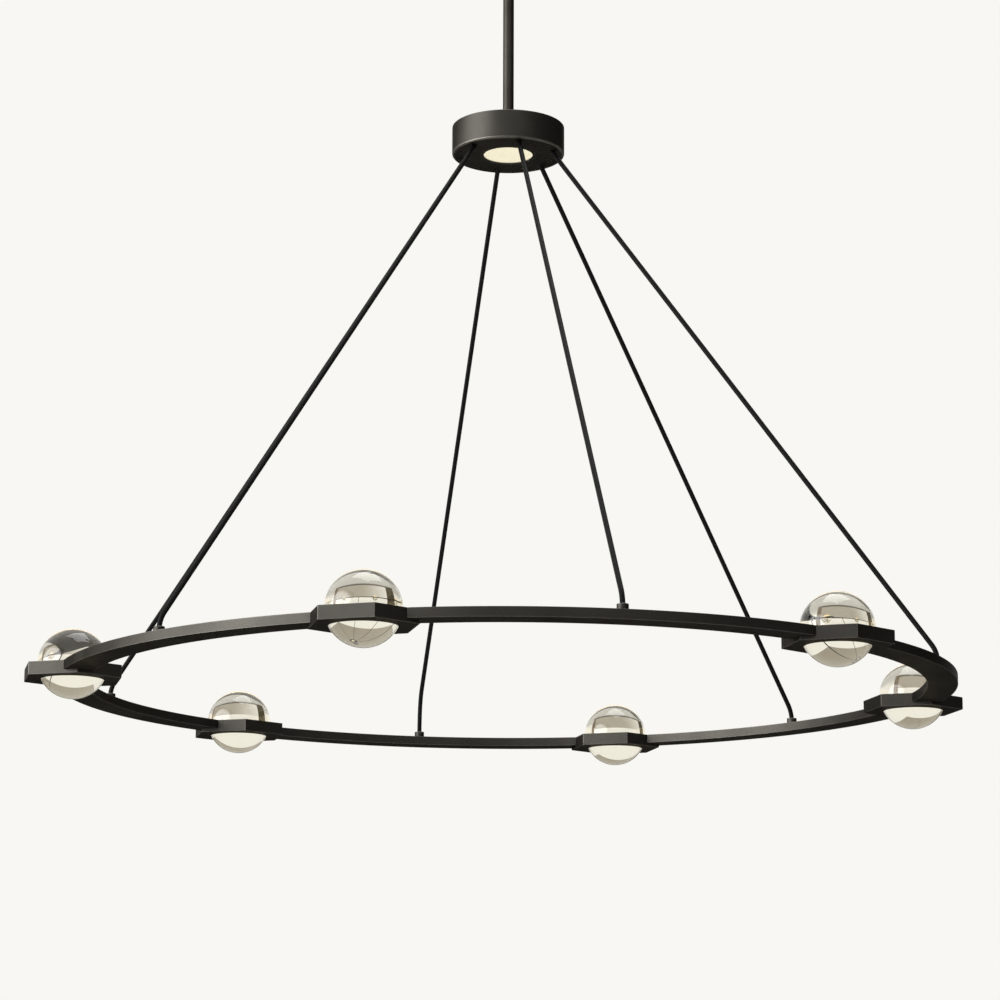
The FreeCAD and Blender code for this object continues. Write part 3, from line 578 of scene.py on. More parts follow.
def blackened_bronze():
    metal = bpy.context.scene.chandelier_hanging.metal_colour
    return surfaced(
        "blackened_bronze", "Patina",
        # Edge is three times the metal's tone: partly wear, partly a painted highlight on
        # the rounded edges.
        {"Dark": shade(metal, 0.86), "Light": shade(metal, 1.16), "Edge": shade(metal, 3.0),
         "Cloud Scale": 9.0, "Grain Scale": 700.0, "Edge Wear": 0.9,
         "Roughness Low": 0.42, "Roughness High": 0.5},
        (0.08, 0.0002), {"Metallic": 1.0, "Specular Tint": (0.3, 0.3, 0.3, 1.0)})


def cable_jacket():
    return surfaced(
        "black_cable_jacket", "Moulded Texture",
        {"Dark": (0.003, 0.003, 0.003, 1), "Light": (0.006, 0.006, 0.0058, 1),
         "Scale": 900.0, "Roughness Low": 0.5, "Roughness High": 0.62},
        (0.1, 0.0001), {"Metallic": 0.0, "Specular IOR Level": 0.12})


def black_screw():
    return surfaced(
        "black_oxide_steel", "Patina",
        {"Dark": (0.02, 0.02, 0.02, 1), "Light": (0.035, 0.035, 0.036, 1),
         # Edge lightens the marked edges: partly wear, partly a painted highlight.
         "Edge": (0.12, 0.12, 0.12, 1), "Cloud Scale": 60.0, "Grain Scale": 1500.0,
         "Edge Wear": 0.5, "Roughness Low": 0.4, "Roughness High": 0.5},
        (0.1, 0.0001), {"Metallic": 1.0, "Specular Tint": (0.3, 0.3, 0.3, 1.0)})


def zinc_steel():
    return surfaced(
        "zinc_plated_steel", "Brushed Grain",
        {"Dark": (0.50, 0.50, 0.52, 1), "Light": (0.72, 0.72, 0.74, 1), "Scale": 220.0,
         "Stretch": (1.0, 8.0, 1.0), "Roughness Low": 0.24, "Roughness High": 0.42},
        (0.08, 0.0001), {"Metallic": 1.0})


def green_screw():
    return surfaced(
        "green_ground_screw", "Moulded Texture",
        {"Dark": (0.02, 0.22, 0.07, 1), "Light": (0.04, 0.32, 0.11, 1), "Scale": 900.0,
         "Roughness Low": 0.3, "Roughness High": 0.4}, (0.1, 0.0001), {"Metallic": 0.4})


def heat_sink():
    return surfaced(
        "extruded_aluminium", "Brushed Grain",
        {"Dark": (0.60, 0.60, 0.61, 1), "Light": (0.80, 0.80, 0.81, 1), "Scale": 160.0,
         "Stretch": (1.0, 20.0, 20.0), "Roughness Low": 0.3, "Roughness High": 0.5},
        (0.1, 0.0001), {"Metallic": 1.0})


def circuit_board():
    return surfaced(
        "white_circuit_board", "Moulded Texture",
        {"Dark": (0.78, 0.78, 0.74, 1), "Light": (0.86, 0.86, 0.82, 1), "Scale": 400.0,
         "Roughness Low": 0.35, "Roughness High": 0.5}, (0.05, 0.0001), {"Metallic": 0.0})


def driver_case():
    return surfaced(
        "driver_case_plastic", "Moulded Texture",
        {"Dark": (0.72, 0.72, 0.71, 1), "Light": (0.82, 0.82, 0.81, 1), "Scale": 700.0,
         "Roughness Low": 0.5, "Roughness High": 0.62}, (0.2, 0.0002), {"Metallic": 0.0})


def nylon():
    return surfaced(
        "natural_nylon", "Moulded Texture",
        {"Dark": (0.68, 0.65, 0.57, 1), "Light": (0.78, 0.75, 0.67, 1), "Scale": 500.0,
         "Roughness Low": 0.4, "Roughness High": 0.52}, (0.15, 0.0002), {"Metallic": 0.0})


def lit_plastic(name, strength, colour):
    """A lit diffuser: a little uneven, as with LEDs behind it."""
    material, tree, principled = new_material(name)
    texture = textured(
        tree, principled, "Moulded Texture",
        {"Dark": shade(colour, 0.95), "Light": shade(colour, 1.0), "Scale": 60.0,
         "Roughness Low": 0.4, "Roughness High": 0.5})
    tree.links.new(texture.outputs["Color"], principled.inputs["Emission Color"])
    tree.links.new(texture.outputs["Roughness"], principled.inputs["Roughness"])
    principled.inputs["Emission Strength"].default_value = strength
    return material


def warm_lens():
    return lit_plastic("warm_lit_lens", 0.93, (0.62, 0.575, 0.43))


def light_guide():
    colour = bpy.context.scene.chandelier_orbs.light_colour
    return lit_plastic("warm_lit_ring", 0.85, colour)


def clear_glass():
    tint = tuple(bpy.context.scene.chandelier_orbs.glass_colour) + (1.0,)
    material, tree, principled = new_material("champagne_glass")
    textured(tree, principled, "Moulded Texture",
             {"Dark": tint, "Light": tint, "Scale": 30.0, "Roughness Low": 0.0,
              "Roughness High": 0.0})
    for key, value in (("Transmission Weight", 1.0), ("IOR", 1.5), ("Metallic", 0.0),
                       ("Roughness", 0.0)):
        principled.inputs[key].default_value = value
    return material


FINISHES = {
    "dark_metal": blackened_bronze, "cable_jacket": cable_jacket,
    "black_screw": black_screw, "zinc_steel": zinc_steel, "green_screw": green_screw,
    "heat_sink": heat_sink, "circuit_board": circuit_board, "driver_case": driver_case,
    "nylon": nylon, "warm_lens": warm_lens, "light_guide": light_guide,
    "clear_glass": clear_glass,
}


def finish(slot):
    """The material of a slot of the record, built once."""
    if slot not in MATERIALS:
        MATERIALS[slot] = FINISHES[slot]()
    return MATERIALS[slot]


# Operators, one for each piece or group of like pieces.

class CHANDELIER_OT_camera(bpy.types.Operator):
    """Place the camera where the photographer stood, below the ring"""
    bl_idname = "chandelier.camera"
    bl_label = "Camera"

    SENSOR = 36.0
    FOCAL_SHARE = 2.91396       # focal length over the picture's width
    CLIP = (0.05, 60.0)
    HEADING = math.radians(76.8)
    PITCH, ROLL = 0.2115, 0.0033
    PLACE = Vector((-1.546, -6.517, -1.01))     # in ring radii from the orbs' centre

    def execute(self, context):
        data = bpy.data.cameras.new("Camera")
        data.sensor_width = self.SENSOR
        data.lens = self.FOCAL_SHARE * self.SENSOR
        data.clip_start, data.clip_end = self.CLIP
        camera = bpy.data.objects.new("Camera", data)
        context.scene.collection.objects.link(camera)
        level = math.cos(self.PITCH)
        ahead = Vector((math.cos(self.HEADING) * level, math.sin(self.HEADING) * level,
                        math.sin(self.PITCH)))
        side = ahead.cross(UP).normalized()
        top = side.cross(ahead)
        right = side * math.cos(self.ROLL) + top * math.sin(self.ROLL)
        above = top * math.cos(self.ROLL) - side * math.sin(self.ROLL)
        turned = Matrix((right, above, -ahead)).transposed().to_4x4()
        place = self.PLACE * RING_RADIUS
        place.z += ORB_CENTRE.z
        camera.matrix_world = Matrix.Translation(place) @ turned
        context.scene.camera = camera
        return {"FINISHED"}


class CHANDELIER_OT_cables(bpy.types.Operator):
    """Draw the six suspension cables from the hub down to the ring"""
    bl_idname = "chandelier.cables"
    bl_label = "Suspension cables"

    # Radius and height of each cable's route: hub anchor, a point on the long run, the
    # bend, and the foot. The second cable bows more.
    ROUTE = ((0.060633, -0.352030), (0.593793, -1.103167), (0.610, -1.126), (0.610, -1.140))
    BOWED = ((0.060423, -0.352182), (0.579507, -1.048118), (0.610, -1.089), (0.610, -1.140))
    EXIT = (0.067, -0.361)
    LENGTH, BOWED_LENGTH = 0.9623, 0.967

    def execute(self, context):
        diameter = context.scene.chandelier_hanging.cable_diameter
        for number in range(ORBS):
            angle = STEP * (number + 0.5)
            bowed = number == 1
            curve = bpy.data.curves.new("suspension_cable", "CURVE")
            curve.dimensions = "3D"
            curve.bevel_depth = diameter / 2
            curve.bevel_resolution = 6
            curve.use_fill_caps = True
            curve.resolution_u = 24
            spline = curve.splines.new("NURBS")
            route = self.BOWED if bowed else self.ROUTE
            spline.points.add(len(route) - 1)
            for point, (radius, height) in zip(spline.points, route):
                point.co = (radius * math.cos(angle), radius * math.sin(angle), height, 1)
            spline.order_u = 3
            spline.use_endpoint_u = True
            name = "cable_%d" % (number + 1)
            cable = bpy.data.objects.new(name, curve)
            context.scene.collection.objects.link(cable)
            dress(cable, "hanging_frame", "suspension_cable_%d" % (number + 1),
                  "cable_jacket")
        return {"FINISHED"}


class CHANDELIER_OT_stem(bpy.types.Operator):
    """Turn the stem that carries the hub"""
    bl_idname = "chandelier.stem"
    bl_label = "Stem"

    WALL = 0.0015
    EDGE = 0.0003
    SIDES = 64

    def execute(self, context):
        low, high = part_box("stem")
        outer = STEM_SIZE.x / 2
        stem = turned_tube("stem_tube", outer, outer - self.WALL, low.z, high.z,
                           self.SIDES)
        soften(stem, self.EDGE)
        dress(stem, "hanging_frame", "stem", "dark_metal")
        return {"FINISHED"}


class CHANDELIER_OT_hub(bpy.types.Operator):
    """Turn the drum of the hub, open below, with its rounded rim"""
    bl_idname = "chandelier.hub"
    bl_label = "Hub"

    TOP_WALL = 0.003
    TOP_ROUNDING = 0.001
    INNER_ROUNDING = 0.0003
    STEM_HOLE = 0.00808
    PAST_BORE = 0.001       # the rim's edges lie further out than this
    SIDES = 128

    def execute(self, context):
        settings = context.scene.chandelier_hanging
        low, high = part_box("hub_housing")
        outer = HUB_SIZE.x / 2
        bore = outer - settings.hub_wall
        drum = cylinder("hub_drum", outer, low.z, high.z, self.SIDES)
        open_edit("FACE")
        pick("faces", faces_down)
        inset(settings.hub_wall)
        extrude(HUB_SIZE.z - self.TOP_WALL)
        inset(bore - self.STEM_HOLE)
        ceiling = high.z - self.TOP_WALL
        pick("faces", lambda f: faces_up(f) and near(middle(f).z, high.z))
        inset(outer - self.STEM_HOLE)
        pick("faces", lambda f: is_disc(f)
             and (near(middle(f).z, high.z) or near(middle(f).z, ceiling)))
        bpy.ops.mesh.bridge_edge_loops()
        bpy.ops.mesh.select_mode(type="EDGE")
        pick("edges", lambda e: near(edge_middle(e).z, low.z)
             and edge_middle(e).xy.length > bore + self.PAST_BORE)
        bevel(settings.hub_rounding, segments=7)
        round_circle(high.z, outer, self.TOP_ROUNDING, segments=3)
        round_circle(low.z, bore, self.INNER_ROUNDING, segments=2)
        close_edit()
        smooth(drum, angle=35)
        dress(drum, "hanging_frame", "hub_housing", "dark_metal")
        return {"FINISHED"}


class CHANDELIER_OT_lens(bpy.types.Operator):
    """Turn the lit lens under the hub"""
    bl_idname = "chandelier.lens"
    bl_label = "Lens"

    SIDES = 96
    RIM = 0.0008
    RISES = ((0.002, 0.00005), (0.006, 0.00012), (0.012, 0.00018))  # inward and up

    def execute(self, context):
        low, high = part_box("hub_lens")
        lens = cylinder("downlight_lens", LENS_SIZE.x / 2, low.z, high.z, self.SIDES)
        open_edit("FACE")
        pick("faces", faces_down)
        inset(self.RIM)
        for inward, lift in self.RISES:
            inset(inward)
            bpy.ops.transform.translate(value=(0, 0, lift))
        bpy.ops.object.mode_set(mode="OBJECT")
        smooth(lens)
        dress(lens, "hanging_frame", "hub_lens", "warm_lens")
        return {"FINISHED"}


class CHANDELIER_OT_holders(bpy.types.Operator):
    """Machine the hexagonal holders, each with a seat and a pocket"""
    bl_idname = "chandelier.holders"
    bl_label = "Orb holders"

    SIDES, SEAT_RINGS = 128, 64

    def execute(self, context):
        orbs = context.scene.chandelier_orbs
        low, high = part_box("orb_holder_1")
        first = hexagon_prism("holder_1", HOLDER_SIZE.x, low.z, high.z, HOLDER_CENTRE)
        soften(first, context.scene.chandelier_hanging.edge_radius)
        bpy.ops.mesh.primitive_uv_sphere_add(
            segments=self.SIDES, ring_count=self.SEAT_RINGS,
            radius=ORB_SIZE.x / 2 + orbs.seat_gap, location=ORB_CENTRE)
        seat = added("seat_tool")
        settle(seat)
        pocket = cylinder("pocket_tool", orbs.pocket_radius, high.z - orbs.pocket_depth,
                          high.z + orbs.pocket_depth, self.SIDES, (ORB_CENTRE.x, 0))
        carve(first, seat)
        carve(first, pocket)
        smooth(first)
        dress_all_round(first, "holder_#", "orb_holder_#", "dark_metal")
        return {"FINISHED"}


class CHANDELIER_OT_ring(bpy.types.Operator):
    """Bend the six bars of the ring and notch their ends to the holders"""
    bl_idname = "chandelier.ring"
    bl_label = "Ring bars"

    STEPS = 60
    PAST = 0.02         # the notching tool above and below the bar

    def execute(self, context):
        settings = context.scene.chandelier_hanging
        low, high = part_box("ring_arc_1")
        bpy.ops.mesh.primitive_plane_add(
            size=1, location=(RING_RADIUS, 0, (low.z + high.z) / 2),
            rotation=(math.radians(90), 0, 0))
        bar = added("ring_bar_1")
        bar.scale = (settings.ring_width, settings.ring_height, 1)
        settle(bar)
        bpy.ops.object.mode_set(mode="EDIT")
        bpy.ops.mesh.select_all(action="SELECT")
        bpy.ops.mesh.spin(steps=self.STEPS, angle=-STEP, center=(0, 0, 0), axis=(0, 0, 1))
        bpy.ops.object.mode_set(mode="OBJECT")
        join_doubles(bar)
        close_edit()
        if max(v.co.y for v in bar.data.vertices) < RING_RADIUS / 2:
            raise RuntimeError("the ring bar was spun the wrong way")
        for number in range(2):
            tool = hexagon_prism("notch_tool", HOLDER_SIZE.x, low.z - self.PAST,
                                 high.z + self.PAST, HOLDER_CENTRE)
            tool.data.transform(Matrix.Rotation(STEP * number, 4, "Z"))
            carve(bar, tool)
        soften(bar, settings.edge_radius)
        dress_all_round(bar, "ring_bar_#", "ring_arc_#", "dark_metal")
        return {"FINISHED"}


class CHANDELIER_OT_feet(bpy.types.Operator):
    """Turn the six cable glands on the ring"""
    bl_idname = "chandelier.feet"
    bl_label = "Cable glands"

    BORE = 0.0037
    BORE_DEPTH = 0.005
    WIDTH = 0.015
    THREAD = 0.008
    HEIGHT = 0.0095
    RIM_ROUNDING, BORE_ROUNDING = 0.0009, 0.0004
    SIDES = 64

    def execute(self, context):
        low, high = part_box("cable_feet")
        seat = high.z - self.HEIGHT
        gland = cylinder("gland", self.WIDTH / 2, seat, high.z, self.SIDES)
        open_edit("FACE")
        pick("faces", faces_up)
        inset(self.WIDTH / 2 - self.BORE)
        extrude(-self.BORE_DEPTH)
        pick("faces", lambda f: faces_down(f) and near(middle(f).z, seat))
        inset((self.WIDTH - self.THREAD) / 2)
        extrude(low.z - seat)
        bpy.ops.mesh.select_mode(type="EDGE")
        round_circle(high.z, self.WIDTH / 2, self.RIM_ROUNDING, segments=4)
        round_circle(high.z, self.BORE, self.BORE_ROUNDING, segments=3)
        close_edit()
        smooth(gland, angle=35)
        out = Matrix.Translation((RING_RADIUS, 0, 0))
        dress_copies(gland, "gland",
                     [Matrix.Rotation(STEP * (number + 0.5), 4, "Z") @ out
                      for number in range(ORBS)],
                     "cable_feet", "dark_metal")
        return {"FINISHED"}


class CHANDELIER_OT_orbs(bpy.types.Operator):
    """Grind the six solid glass orbs"""
    bl_idname = "chandelier.orbs"
    bl_label = "Glass orbs"

    def execute(self, context):
        orbs = context.scene.chandelier_orbs
        radius = ORB_SIZE.x / 2
        bpy.ops.mesh.primitive_cube_add(size=2 * radius, location=ORB_CENTRE)
        first = added("orb_1_glass")
        modifier(first, "SUBSURF", levels=orbs.smoothness, render_levels=orbs.smoothness)
        modifier(first, "CAST", factor=1.0, cast_type="SPHERE", size=radius,
                 use_radius_as_size=False, radius=0.0)
        settle(first)
        only(first)
        bpy.ops.object.shade_smooth()
        dress_all_round(first, "orb_#_glass", "glass_orb_#", "clear_glass", "orb_#")
        return {"FINISHED"}


class CHANDELIER_OT_lights(bpy.types.Operator):
    """Turn the ring of light round each orb"""
    bl_idname = "chandelier.lights"
    bl_label = "Orb lights"

    WIDTH = 0.0074
    EDGE = 0.0008
    SIDES = 96

    def execute(self, context):
        low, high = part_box("orb_light_ring_1")
        outer = (high.x - low.x) / 2
        first = turned_tube("orb_light_1", outer, outer - self.WIDTH, low.z, high.z,
                            self.SIDES)
        soften(first, self.EDGE, segments=3)
        first.data.transform(Matrix.Translation((RING_RADIUS, 0, 0)))
        dress_all_round(first, "orb_light_#", "orb_light_ring_#", "light_guide")
        return {"FINISHED"}


class CHANDELIER_OT_canopy(bpy.types.Operator):
    """Press the canopy: a shallow cup with a hole for the stem and two for its studs"""
    bl_idname = "chandelier.canopy"
    bl_label = "Canopy"

    WALL = 0.0015
    ROUNDING = 0.005
    HOLE_ROUNDING, RIM_ROUNDING = 0.0005, 0.0003
    STEM_HOLE = 0.01546
    STUD_HOLE = 0.0032
    SIDES, HOLE_SIDES = 128, 32
    PAST = 0.005        # the stud holes' tool above and below the floor

    def execute(self, context):
        low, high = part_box("canopy_cover")
        outer = CANOPY_SIZE.x / 2
        inner = outer - self.WALL
        floor = low.z + self.WALL
        cup = cylinder("canopy_cup", outer, low.z, high.z, self.SIDES)
        open_edit("FACE")
        pick("faces", faces_up)
        inset(self.WALL)
        extrude(floor - high.z)
        inset(inner - self.STEM_HOLE)
        pick("faces", lambda f: faces_down(f) and near(middle(f).z, low.z))
        inset(outer - self.STEM_HOLE)
        pick("faces", lambda f: is_disc(f)
             and (near(middle(f).z, low.z) or near(middle(f).z, floor)))
        bpy.ops.mesh.bridge_edge_loops()
        bpy.ops.mesh.select_mode(type="EDGE")
        round_circle(low.z, outer, self.ROUNDING, segments=12)
        round_circle(floor, inner, self.ROUNDING - self.WALL, segments=8)
        round_circle(low.z, self.STEM_HOLE, self.HOLE_ROUNDING, segments=3)
        round_circle(high.z, outer, self.RIM_ROUNDING, segments=2)
        close_edit()
        for side in (-1, 1):
            carve(cup, cylinder("stud_hole_tool", self.STUD_HOLE, low.z - self.PAST,
                                floor + self.PAST, self.HOLE_SIDES, (side * STUD_X, 0)))
        smooth(cup, angle=35)
        dress(cup, "canopy", "canopy_cover", "dark_metal")
        return {"FINISHED"}


class CHANDELIER_OT_cap_nuts(bpy.types.Operator):
    """Turn the two domed, ribbed cap nuts under the canopy"""
    bl_idname = "chandelier.cap_nuts"
    bl_label = "Cap nuts"

    SIDES = 40
    DOME = 0.0038
    RIB, GROOVE = 0.00025, 0.0001
    COLLAR = 0.0012
    BORE = 0.0026
    BORE_DEPTH = 0.0066
    OUTSIDE = 0.9       # share of the radius beyond which a face is on the side
    SLACK = 1e-5

    def execute(self, context):
        low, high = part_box("canopy_cap_nuts")
        radius = (high.y - low.y) / 2
        nut = cylinder("cap_nut", radius, low.z, high.z, self.SIDES)
        open_edit("FACE")
        pick("faces", faces_up)
        inset(radius - self.BORE)
        extrude(-self.BORE_DEPTH)
        bpy.ops.mesh.select_mode(type="EDGE")
        pick("edges", lambda e: near(edge_middle(e).z, low.z))
        bevel(self.DOME, segments=8)
        bpy.ops.mesh.select_all(action="SELECT")
        bpy.ops.mesh.bisect(plane_co=(0, 0, high.z - self.COLLAR), plane_no=(0, 0, 1))
        bpy.ops.mesh.select_mode(type="FACE")
        side_low, side_high = low.z + self.DOME, high.z - self.COLLAR
        step = 2 * math.pi / self.SIDES
        # Every second face of the side becomes a groove.
        pick("faces", lambda f: side_low - self.SLACK < middle(f).z < side_high
             and middle(f).xy.length > radius * self.OUTSIDE and faces_sideways(f)
             and int(math.atan2(middle(f).y, middle(f).x) / step + 2 * self.SIDES) % 2)
        bpy.ops.mesh.inset(thickness=self.GROOVE, depth=-self.RIB, use_individual=True)
        close_edit()
        smooth(nut, angle=28)
        dress_copies(nut, "cap_nut",
                     [Matrix.Translation((side * STUD_X, 0, 0)) for side in (-1, 1)],
                     "canopy_cap_nuts", "dark_metal", "canopy")
        return {"FINISHED"}


class CHANDELIER_OT_plate(bpy.types.Operator):
    """Cut the hub's bottom plate with its slanted cable holes and sunk screws"""
    bl_idname = "chandelier.plate"
    bl_label = "Bottom plate"

    WINDOW = 0.0402
    SCREW_CIRCLE = 0.072
    SCREW_HOLE = 0.0017
    SINK = 0.0030
    SINK_DEPTH = 0.0013
    CABLE_HOLE = 0.0041
    TOOL_LENGTH = 0.03
    PAST = 0.002        # the upright tools above and below the plate
    EDGE = 0.0003
    SIDES, SCREW_SIDES, CABLE_SIDES = 128, 32, 48

    def execute(self, context):
        low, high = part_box("hub_bottom_plate")
        cables = CHANDELIER_OT_cables
        plate = turned_tube("hub_plate", (high.x - low.x) / 2, self.WINDOW, low.z, high.z,
                            self.SIDES)
        soften(plate, self.EDGE)
        for number in range(3):
            angle = STEP * (2 * number + 1)
            spot = (self.SCREW_CIRCLE * math.cos(angle), self.SCREW_CIRCLE * math.sin(angle))
            for radius, top in ((self.SCREW_HOLE, high.z + self.PAST),
                                (self.SINK, low.z + self.SINK_DEPTH)):
                carve(plate, cylinder("screw_hole_tool", radius, low.z - self.PAST, top,
                                      self.SCREW_SIDES, spot))
        for number in range(ORBS):
            route = cables.BOWED if number == 1 else cables.ROUTE
            top, below = (Vector((radius, 0, height)) for radius, height in route[:2])
            slope = (top - below).normalized()
            tool = cylinder("cable_hole_tool", self.CABLE_HOLE, -self.TOOL_LENGTH / 2,
                            self.TOOL_LENGTH / 2, self.CABLE_SIDES)
            tool.data.transform(
                Matrix.Rotation(STEP * (number + 0.5), 4, "Z")
                @ Matrix.Translation((cables.EXIT[0], 0, cables.EXIT[1]))
                @ slope.to_track_quat("Z", "Y").to_matrix().to_4x4())
            carve(plate, tool)
        smooth(plate)
        dress(plate, "hanging_frame", "hub_bottom_plate", "dark_metal")
        return {"FINISHED"}


class CHANDELIER_OT_bezel(bpy.types.Operator):
    """Turn the dark bezel that holds the lens, with its lip and flange"""
    bl_idname = "chandelier.bezel"
    bl_label = "Lens bezel"

    WINDOW, BORE, TUBE, FLANGE = 0.036, 0.0377, 0.040, 0.0435
    LIP = 0.0012
    FLANGE_UP = (0.0025, 0.004)
    EDGE = 0.0002
    SIDES = 96
    SLACK = 0.0004          # of the radius of a many-sided wall

    def execute(self, context):
        low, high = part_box("lens_bezel")
        bezel = turned_tube("bezel", self.TUBE, self.BORE, low.z, high.z, self.SIDES)
        open_edit("FACE")
        lip = low.z + self.LIP
        flange = [low.z + height for height in self.FLANGE_UP]
        for height in [lip] + flange:
            bpy.ops.mesh.select_all(action="SELECT")
            bpy.ops.mesh.bisect(plane_co=(0, 0, height), plane_no=(0, 0, 1))
        for bottom, top, radius, wanted in (
                (low.z, lip, self.BORE, self.WINDOW),
                (flange[0], flange[1], self.TUBE, self.FLANGE)):
            pick("faces", lambda f: bottom < middle(f).z < top and faces_sideways(f)
                 and near(middle(f).xy.length, radius, self.SLACK))
            ratio = wanted / radius
            bpy.ops.mesh.extrude_region_move()
            bpy.ops.transform.resize(value=(ratio, ratio, 1), center_override=(0, 0, 0))
        bpy.ops.object.mode_set(mode="OBJECT")
        join_doubles(bezel)
        close_edit()
        soften(bezel, self.EDGE)
        dress(bezel, "hanging_frame", "lens_bezel", "dark_metal")
        return {"FINISHED"}


class CHANDELIER_OT_screws(bpy.types.Operator):
    """Turn the socket-head screws of the ring's joints and of the hub's plate"""
    bl_idname = "chandelier.screws"
    bl_label = "Screws"

    # Radius and height of the head, radius and length of the shank.
    JOINT = (0.0035, 0.0022, 0.0020, 0.0080)
    PLATE = (0.0028, 0.0013, 0.0015, 0.0092)
    JOINT_ANGLE = math.radians(8.242)
    EDGE = 0.00025
    SOCKET, SOCKET_FLOOR = 0.5, 0.4         # shares of the head's radius and height
    SIDES, KEY_SIDES = 48, 6

    def screw(self, name, head, height, shank, length):
        """A screw whose head stands on z = 0 and whose shank points down."""
        made = cylinder(name, head, 0, height, self.SIDES)
        open_edit("FACE")
        pick("faces", faces_down)
        inset(head - shank)
        extrude(-length)
        bpy.ops.object.mode_set(mode="OBJECT")
        soften(made, self.EDGE, segments=3)
        carve(made, cylinder("hex_key_tool", head * self.SOCKET,
                             height * self.SOCKET_FLOOR,
                             height * (self.SOCKET_FLOOR + 1), self.KEY_SIDES))
        smooth(made)
        return made

    def execute(self, context):
        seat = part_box("ring_joint_screws")[1].z - self.JOINT[1]
        out = Matrix.Translation((RING_RADIUS, 0, seat))
        dress_copies(self.screw("joint_screw_pattern", *self.JOINT), "joint_screw",
                     [Matrix.Rotation(STEP * number + side * self.JOINT_ANGLE, 4, "Z") @ out
                      for number in range(ORBS) for side in (1, -1)],
                     "ring_joint_screws", "black_screw")
        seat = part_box("hub_plate_screws")[0].z + self.PLATE[1]
        out = Matrix.Translation((CHANDELIER_OT_plate.SCREW_CIRCLE, 0, seat))
        upside_down = Matrix.Rotation(math.pi, 4, "X")
        dress_copies(self.screw("plate_screw_pattern", *self.PLATE), "plate_screw",
                     [Matrix.Rotation(STEP * number, 4, "Z") @ out @ upside_down
                      for number in (1, 3, 5)],
                     "hub_plate_screws", "black_screw")
        return {"FINISHED"}


class CHANDELIER_OT_bracket(bpy.types.Operator):
    """Deburr the ceiling bracket: crossbar, swivel socket, studs, screws and stem nut"""
    bl_idname = "chandelier.bracket"
    bl_label = "Ceiling bracket"

    PARTS = (
        ("crossbar", "bracket_bar", "ceiling_bracket", "zinc_steel", 0.0004),
        ("swivel_socket", "swivel_cup", "ceiling_bracket", "zinc_steel", 0.0003),
        ("socket_screws", "swivel_cup_screws", "ceiling_bracket", "zinc_steel", 0.0003),
        ("ground_screw", "earth_screw", "ceiling_bracket", "green_screw", 0.0003),
        ("canopy_studs", "threaded_studs", "ceiling_bracket", "zinc_steel", 0.0004),
        ("stem_top_nut", "stem_nut", "hanging_frame", "zinc_steel", 0.0004),
    )
    FLAT = math.radians(0.5)

    def execute(self, context):
        for solid, name, body, slot, edge in self.PARTS:
            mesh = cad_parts[solid].data.copy()
            mesh.name = name
            made = bpy.data.objects.new(name, mesh)
            context.scene.collection.objects.link(made)
            join_doubles(made)
            bpy.ops.mesh.dissolve_limited(angle_limit=self.FLAT)
            bpy.ops.object.mode_set(mode="OBJECT")
            soften(made, edge, angle=35)
            dress(made, body, solid, slot)
        return {"FINISHED"}


class CHANDELIER_OT_solids(bpy.types.Operator):
    """Finish the hardware that stays as it is"""
    bl_idname = "chandelier.solids"
    bl_label = "Hardware"

    STAYING = {
        "swivel_seat": "zinc_steel", "swivel_liner": "nylon",
        "swivel_ball": "dark_metal", "stem_hub_nut": "zinc_steel",
        "cable_anchors": "nylon",
        "downlight_board": "circuit_board", "downlight_heat_sink": "heat_sink",
        "led_driver": "driver_case", "terminal_block": "nylon",
        "cable_foot_nuts": "zinc_steel", "ring_spigots": "heat_sink",
        "orb_led_boards": "circuit_board",
    }

    def execute(self, context):
        for solid, slot in self.STAYING.items():
            paint(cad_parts[solid], finish(slot))
        return {"FINISHED"}


